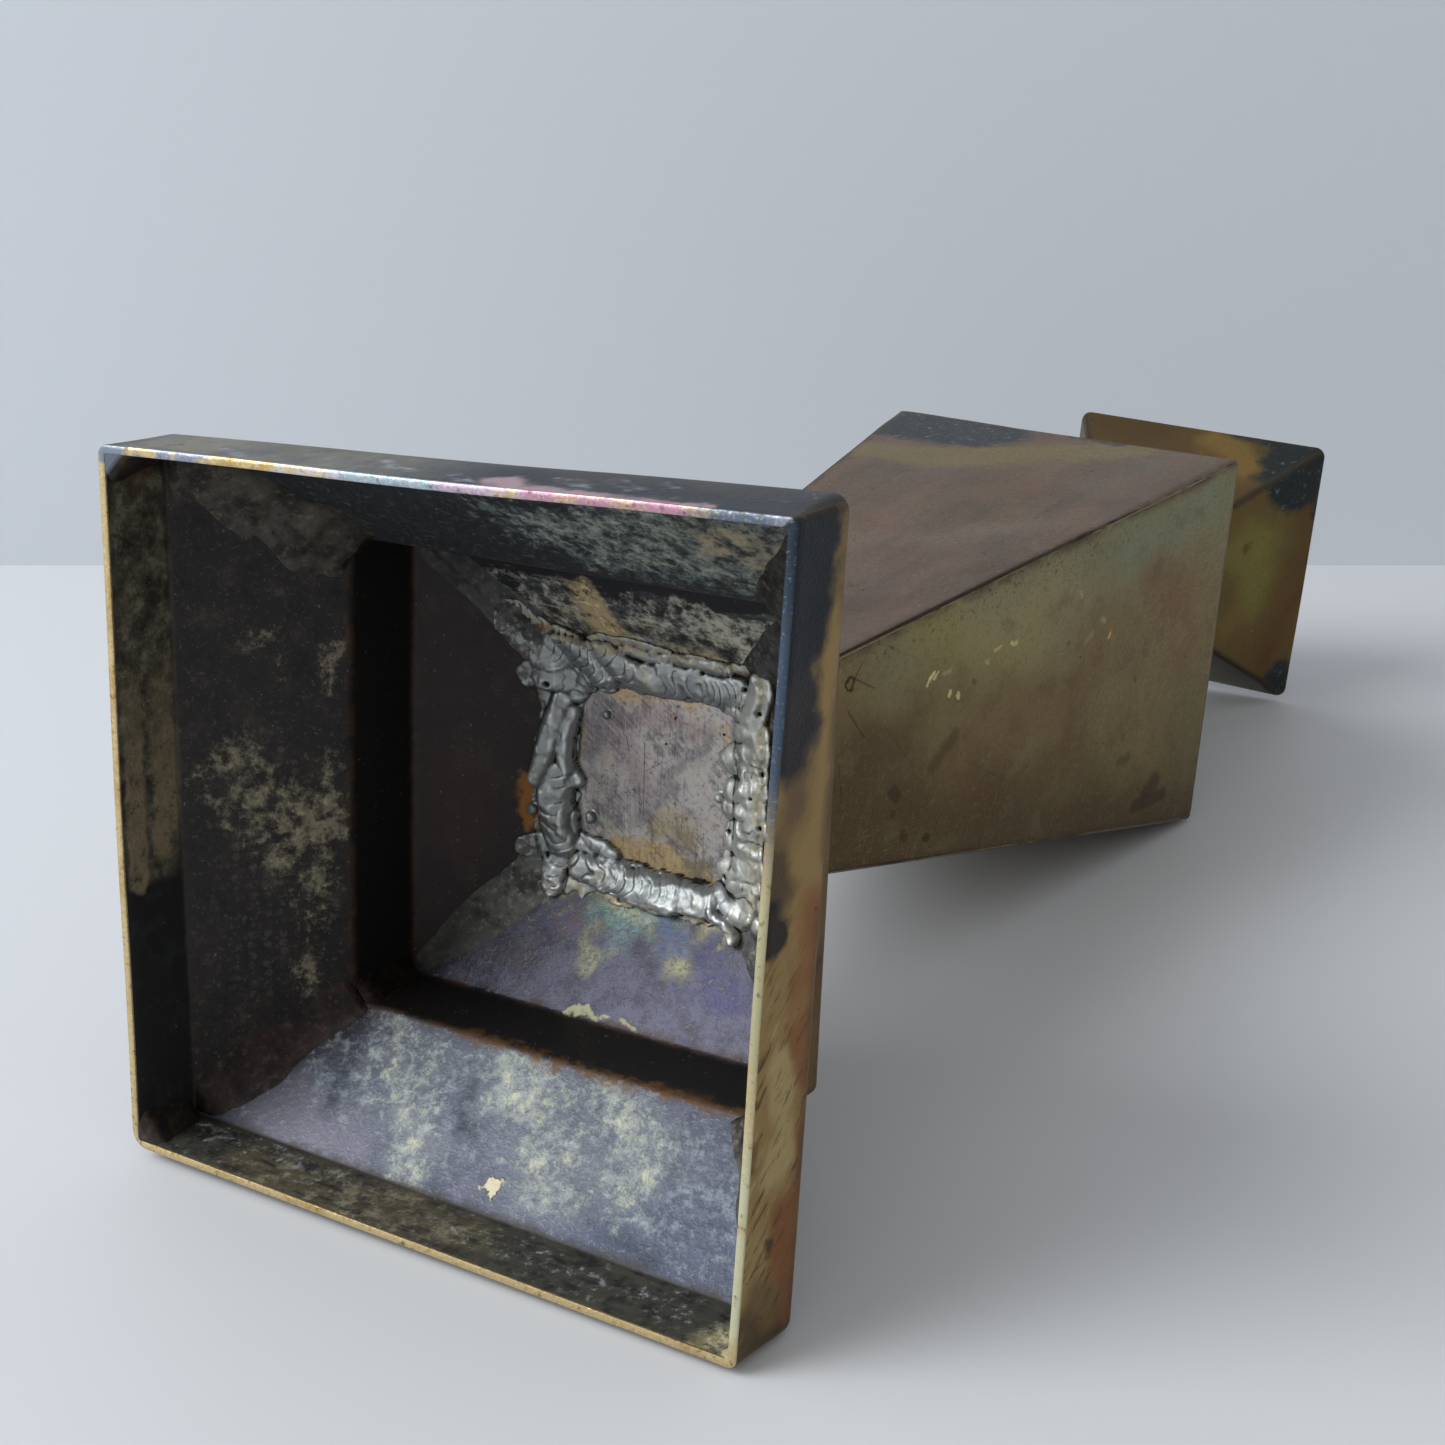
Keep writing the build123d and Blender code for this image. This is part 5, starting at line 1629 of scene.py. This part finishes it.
def seam_look():
    """Ridge seams: a thin browned line with a painted highlight along its edge, paler towards the stem's wide
    end.
    """
    look = Look("seam_filler", tone(62, 50, 38), rough=0.4, metal=0.85, twist=STEM_TWIST)
    run, fine = look.noise(13, 4, 0.6, seed=111), look.noise(1.6, 4, 0.6, stretch=(1, 1, 4), seed=112)
    offset = look.x.size() - look.y.size()
    look.mottle(fine, (0.42, 0.6, 0.5, (48, 38, 29)))
    look.coat(look.z.ramp(110, 185) * look.z.ramp(204, 199) * fine.ramp(0.62, 0.4) * 0.7, tone(126, 104, 84))
    # painted highlight: a thin pale glossy line beside the crown, on one side of it
    pale = offset.ramp(0.08, 0.2) * offset.ramp(0.65, 0.45)
    look.coat(pale * run.ramp(0.34, 0.52) * fine.ramp(0.3, 0.5) * 0.8, tone(150, 132, 100), rough=0.3)
    look.coat(fine, height=0.02)
    return look.done()


# ---- camera, table and light -----------------------------------------------------------------------

# the candlestick rests on the top edge of its skirt and the wide end of its stem
STEM_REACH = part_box("wide_end_seam")[1].y / MM
TABLE_TILT = math.atan((BASE_HALF - STEM_REACH) / (STEM_TOP - SKIRT_TOP))
TABLE_UP = Vector((0, -math.cos(TABLE_TILT), -math.sin(TABLE_TILT)))
TABLE_GAP = 0.6  # leaves room for the unevenness of the sheet
TABLE_AT = Vector((0, BASE_HALF + TABLE_GAP, SKIRT_TOP)) * MM

CAMERA_AT = Vector((155.1, -88.2, -189.7)) * MM
CAMERA_LOOKS_AT = Vector((8.3, -8.5, 59.6)) * MM
CAMERA_LENS = 52.56
WALL_AWAY = 0.585  # metres along the table from the camera to its back edge


def make_camera():
    """Camera at the photograph's angle, level with the table; returns its right-hand direction."""
    data = bpy.data.cameras.new("camera")
    data.lens = CAMERA_LENS
    data.clip_start = 0.01
    camera = bpy.data.objects.new("camera", data)
    forward = (CAMERA_LOOKS_AT - CAMERA_AT).normalized()
    right = forward.cross(TABLE_UP).normalized()
    axes = Matrix((right, right.cross(forward), -forward)).transposed()
    camera.matrix_world = Matrix.Translation(CAMERA_AT) @ axes.to_4x4()
    bpy.context.scene.collection.objects.link(camera)
    bpy.context.scene.camera = camera
    return right


def flat_sheet(name, centre, x_axis, y_axis, width, depth, material):
    """A flat rectangle of the stage, facing x_axis x y_axis."""
    mesh = bpy.data.meshes.new(name)
    corners = [centre + x_axis * sx * width / 2 + y_axis * sy * depth / 2
               for sx, sy in ((-1, -1), (1, -1), (1, 1), (-1, 1))]
    mesh.from_pydata([tuple(c) for c in corners], [], [(0, 1, 2, 3)])
    mesh.materials.append(material)
    sheet = bpy.data.objects.new(name, mesh)
    bpy.context.scene.collection.objects.link(sheet)


def stage_look(name, colour, rough):
    """Plain matt surface, clear from behind so that it hides the object from no side."""
    look = Look(name, colour, rough, metal=0.0)
    material = look.done()
    nodes, links = material.node_tree.nodes, material.node_tree.links
    mix = nodes.new("ShaderNodeMixShader")
    links.new(nodes.new("ShaderNodeNewGeometry").outputs["Backfacing"], mix.inputs[0])
    links.new(nodes["Principled BSDF"].outputs[0], mix.inputs[1])
    links.new(nodes.new("ShaderNodeBsdfTransparent").outputs[0], mix.inputs[2])
    links.new(mix.outputs[0], nodes["Material Output"].inputs["Surface"])
    return material


def area_light(name, place, target, size, power, colour):
    data = bpy.data.lights.new(name, "AREA")
    data.shape = "RECTANGLE"
    data.size, data.size_y = size
    data.energy = power
    data.color = colour
    light = bpy.data.objects.new(name, data)
    light.location = place
    light.rotation_mode = "QUATERNION"
    light.rotation_quaternion = (target - place).to_track_quat("-Z", "Y")
    bpy.context.scene.collection.objects.link(light)


TABLE_COLOUR = (0.62, 0.64, 0.67)
TABLE_ROUGH = 0.55
WALL_COLOUR = (0.58, 0.615, 0.67)
WALL_ROUGH = 0.9
WINDOW_SIZE = (1.3, 1.1)
WINDOW_POWER = 36
WINDOW_COLOUR = (0.96, 0.985, 1.0)
ROOM_COLOUR = (1.0, 0.985, 0.95, 1)
ROOM_STRENGTH = 0.52
OBJECT_MIDDLE = Vector((0, 0, 0.1))


def make_studio(right):
    """Pale table, pale wall, one big soft light from the upper left and a pale room."""
    away = TABLE_UP.cross(right).normalized()
    height = (CAMERA_AT - TABLE_AT).dot(TABLE_UP)
    back_edge = CAMERA_AT - TABLE_UP * height + away * WALL_AWAY
    flat_sheet("table", back_edge - away * 1.5, right, away, 4.0, 3.0,
               stage_look("pale_table", TABLE_COLOUR, TABLE_ROUGH))
    flat_sheet("wall", back_edge + TABLE_UP * 0.9, right, TABLE_UP, 4.0, 2.4,
               stage_look("pale_wall", WALL_COLOUR, WALL_ROUGH))
    window = OBJECT_MIDDLE - right * 1.5 + TABLE_UP * 1.1 - away * 0.45
    area_light("window", window, OBJECT_MIDDLE, WINDOW_SIZE, WINDOW_POWER, WINDOW_COLOUR)
    world = bpy.data.worlds.new("room")
    world.use_nodes = True
    sky = world.node_tree.nodes["Background"]
    sky.inputs["Color"].default_value = ROOM_COLOUR
    sky.inputs["Strength"].default_value = ROOM_STRENGTH
    bpy.context.scene.world = world
    bpy.context.scene.view_settings.view_transform = "Standard"


# ---- the pieces ------------------------------------------------------------------------------------

BASE_BENDS = (2.0, 1.0, 2.2)  # outside radii of the skirt, riser foot and riser top bends
SLOPE_END = NECK_HALF - 0.6  # the upper slope ends under the stem


def sheet_parts(looks):
    """Foot, stem, shoulder and cup."""
    foot = {side: [looks["foot_outside"], looks["inside_" + side], looks["cut_edge"]] for side in SIDES}
    stem = {side: [looks["stem_" + side], looks["cup_inside"], looks["stem_" + side]] for side in SIDES}
    cup = dict.fromkeys(SIDES, [looks["cup"], looks["cup_inside"], looks["cut_edge"]])
    slope_top = RISER_TOP + UPPER_SLOPE * (RISER_HALF - SLOPE_END)
    sheet_pieces("base", [(BASE_HALF, 0), (BASE_HALF, SKIRT_TOP), (RISER_HALF, RISER_FOOT),
                          (RISER_HALF, RISER_TOP), (SLOPE_END, slope_top)],
                 BASE_BENDS, skirt_corner, 0, foot)
    sheet_pieces("stem", [(stem_half(PLATE_TOP), PLATE_TOP), (STEM_HALF, STEM_TOP)], (), stem_corner,
                 STEM_TWIST, stem)
    sheet_pieces("shoulder", [(STEM_HALF, STEM_TOP), (WAIST_HALF, WAIST_Z)], (), shoulder_corner,
                 STEM_TWIST, stem)
    sheet_pieces("cup", [(WAIST_HALF, CUP_FOOT), (CUP_HALF, CUP_TOP)], (), cup_corner, CUP_TWIST, cup)


def shoulder_half(z):
    return STEM_HALF + (WAIST_HALF - STEM_HALF) * (z - STEM_TOP) / (WAIST_Z - STEM_TOP)


RIDGE_HALF = 0.42
RIDGE_PROUD = 0.11
SLOPE_JOINT = RISER_TOP + UPPER_SLOPE * (RISER_HALF - stem_half(NECK_Z + 4)) + 0.2  # the stem leaves the foot
# ridge seams: storey, its half width and corner radius, low end, high end, twist, look
RIDGES = (
    ("stem", stem_half, stem_corner, SLOPE_JOINT, STEM_TOP - 0.4, STEM_TWIST, "seam"),
    ("shoulder", shoulder_half, shoulder_corner, STEM_TOP + 0.4, WAIST_Z - 0.3, STEM_TWIST, "seam"),
    ("cup", cup_half, cup_corner, CUP_FOOT + 0.3, CUP_TOP - 0.7, CUP_TWIST, "cup"),
)


def ridge_piece(storey, place, half_at, corner_at, low, high, twist, seed, look):
    """One ridge seam as a piece that stands for the CAD node STOREY_seam_PLACE."""
    points, faces = ridge_bead(half_at, corner_at, low, high, CORNERS[place] + twist, RIDGE_HALF,
                               RIDGE_PROUD, seed)
    make_piece(f"{storey}_ridge_{place}", points, faces, [f"{storey}_seam_{place}"], "braze", [look])


def seam_parts(looks):
    """Beads along the ridges and round the joints."""
    for number, place in enumerate(CORNERS):
        for storey, *shape, look in RIDGES:
            ridge_piece(storey, place, *shape, 31 * number + len(storey), looks[look])
    points, faces = ring_bead(STEM_HALF - 0.5, 1.8, STEM_TOP, STEM_TWIST, 0.7, 0.5, 12, 7, rough=0.1)
    make_piece("wide_end_ring", points, faces, ["wide_end_seam"], "braze", [looks["stem_back"]])
    waist_z = (WAIST_Z + CUP_FOOT) / 2
    points, faces = ring_bead(WAIST_HALF - 0.1, 1.6, waist_z, (STEM_TWIST + CUP_TWIST) / 2, 1.5, 1.1, 0, 8)
    make_piece("waist_ring", points, faces, ["waist_bead"], "braze", [looks["waist_filler"]])


LOWER_PITCH = 3.4  # between overlapping plates of filler
UPPER_PITCH = 2.6
ROOF_FILLET_END = 18.4  # half width where the upper fillets meet the weld
# legs at the low and the high end of each fillet; the larger ones add bulge, roughness and plates
SKIRT_FILLETS = {"front_left": (3.9, 2.8), "back_left": (4.4, 2.6), "back_right": (1.8, 1.2),
                 "front_right": (1.4, 1.2)}
LOWER_FILLETS = {"front_left": (9.0, 8.6, -2.1, 0.2, 0.04), "back_left": (6.0, 5.0, -1.35, 0.25, 0.05),
                 "back_right": (5.5, 5.0, -0.7, 0.5, 0.1), "front_right": (5.5, 5.0, -0.7, 0.5, 0.1)}
UPPER_FILLETS = {"front_left": (4.2, 6.8, -0.7, 0.6, 0.45), "back_left": (4.4, 6.0, -1.1, 0.4, 0.12),
                 "back_right": (3.0, 4.0, -0.4, 0.4, 0.15), "front_right": (4.4, 5.2, 0.0, 0.7, 0.4)}
LOWER_LOOKS = {"front_left": "ashen_braze", "back_left": "copper_braze", "back_right": "crusted_braze",
               "front_right": "crusted_braze"}


def fillet_piece(part, place, ends, sizes, seed, pitch, look):
    """One corner fillet as a piece that stands for the CAD node PART_corner_braze_PLACE."""
    wide, narrow, bulge, rough, plates = sizes
    points, faces = corner_fillet(CORNERS[place], *ends, (wide, narrow), bulge, rough, seed, plates, pitch)
    make_piece(f"{part}_braze_{place}", points, faces, [f"{part}_corner_braze_{place}"], "braze", [look])


def corner_parts(looks):
    """Filler inside the foot's corners; the front left ones are the heaviest."""
    rim, fold = (INNER_SKIRT, 0.15), (INNER_SKIRT, 10.6)
    slope_foot, slope_head = (lower_inside(11.0), 11.0), (lower_inside(29.0), 29.0)
    roof_foot = (INNER_RISER - 0.3, INNER_RISER_TOP + 0.3)
    roof_head = (ROOF_FILLET_END, INNER_RISER_TOP + UPPER_SLOPE * (INNER_RISER - ROOF_FILLET_END))
    skirts, risers = [], []
    for number, (place, degrees) in enumerate(CORNERS.items()):
        fillet_piece("lower", place, (slope_foot, slope_head), LOWER_FILLETS[place], 200 + number,
                     LOWER_PITCH, looks[LOWER_LOOKS[place]])
        fillet_piece("upper", place, (roof_foot, roof_head), UPPER_FILLETS[place], 230 + number,
                     UPPER_PITCH, looks["scraped_braze"])
        skirts.append(corner_fillet(degrees, rim, fold, SKIRT_FILLETS[place], -0.3, 0.12, 260 + number))
        risers.append(corner_fillet(degrees, (INNER_RISER, 29.6), (INNER_RISER, 42.2), (3.0, 3.0), -0.4,
                                    0.3, 290 + number))
    make_piece("skirt_solder", *join_shells(skirts), ["skirt_corner_solder"], "weld", [looks["solder"]])
    make_piece("riser_braze", *join_shells(risers), ["riser_corner_braze"], "braze",
               [looks["scorched_braze"]])


# base, dark and pale sRGB colour, seed, and the heights between which soot begins and is full
FILLERS = {
    "crusted_braze": ((72, 70, 66), (42, 39, 37), (120, 114, 98), 121),
    "copper_braze": ((50, 40, 38), (33, 29, 29), (80, 66, 60), 131),
    "scraped_braze": ((88, 88, 86), (50, 49, 48), (150, 148, 140), 141, (53, 45)),
    "ashen_braze": ((72, 68, 61), (48, 45, 41), (106, 99, 86), 181),
    "scorched_braze": ((44, 36, 32), (24, 22, 22), (80, 62, 46), 161),
    "waist_filler": ((110, 92, 62), (62, 50, 36), (150, 132, 96), 171),
}


def main():
    looks = {
        "foot_outside": foot_outside_look(), "cut_edge": cut_edge_look(),
        "inside_left": inside_left_look(), "inside_back": inside_back_look(),
        "inside_front": inside_front_look(), "inside_right": inside_right_look(),
        "cup": cup_look(), "cup_inside": cavity_look(), "seam": seam_look(),
        "weld": weld_look(), "plate": plate_look(),
        "solder": solder_look(), **{"stem_" + side: stem_look(side) for side in SIDES},
        **{name: filler_look(name, *given) for name, given in FILLERS.items()},
    }
    sheet_parts(looks)
    seam_parts(looks)
    corner_parts(looks)
    weld_ring(looks["weld"])
    drops = join_shells([spatter_bead(*drop, 310 + k) for k, drop in enumerate(SPATTER)])
    make_piece("spatter", *drops, ["weld_spatter"], "weld", [looks["weld"]])
    floor_plate(looks["plate"])
    for slot in bpy.data.objects["cup_floor"].material_slots:
        slot.material = looks["cup_inside"]
    make_studio(make_camera())


main()
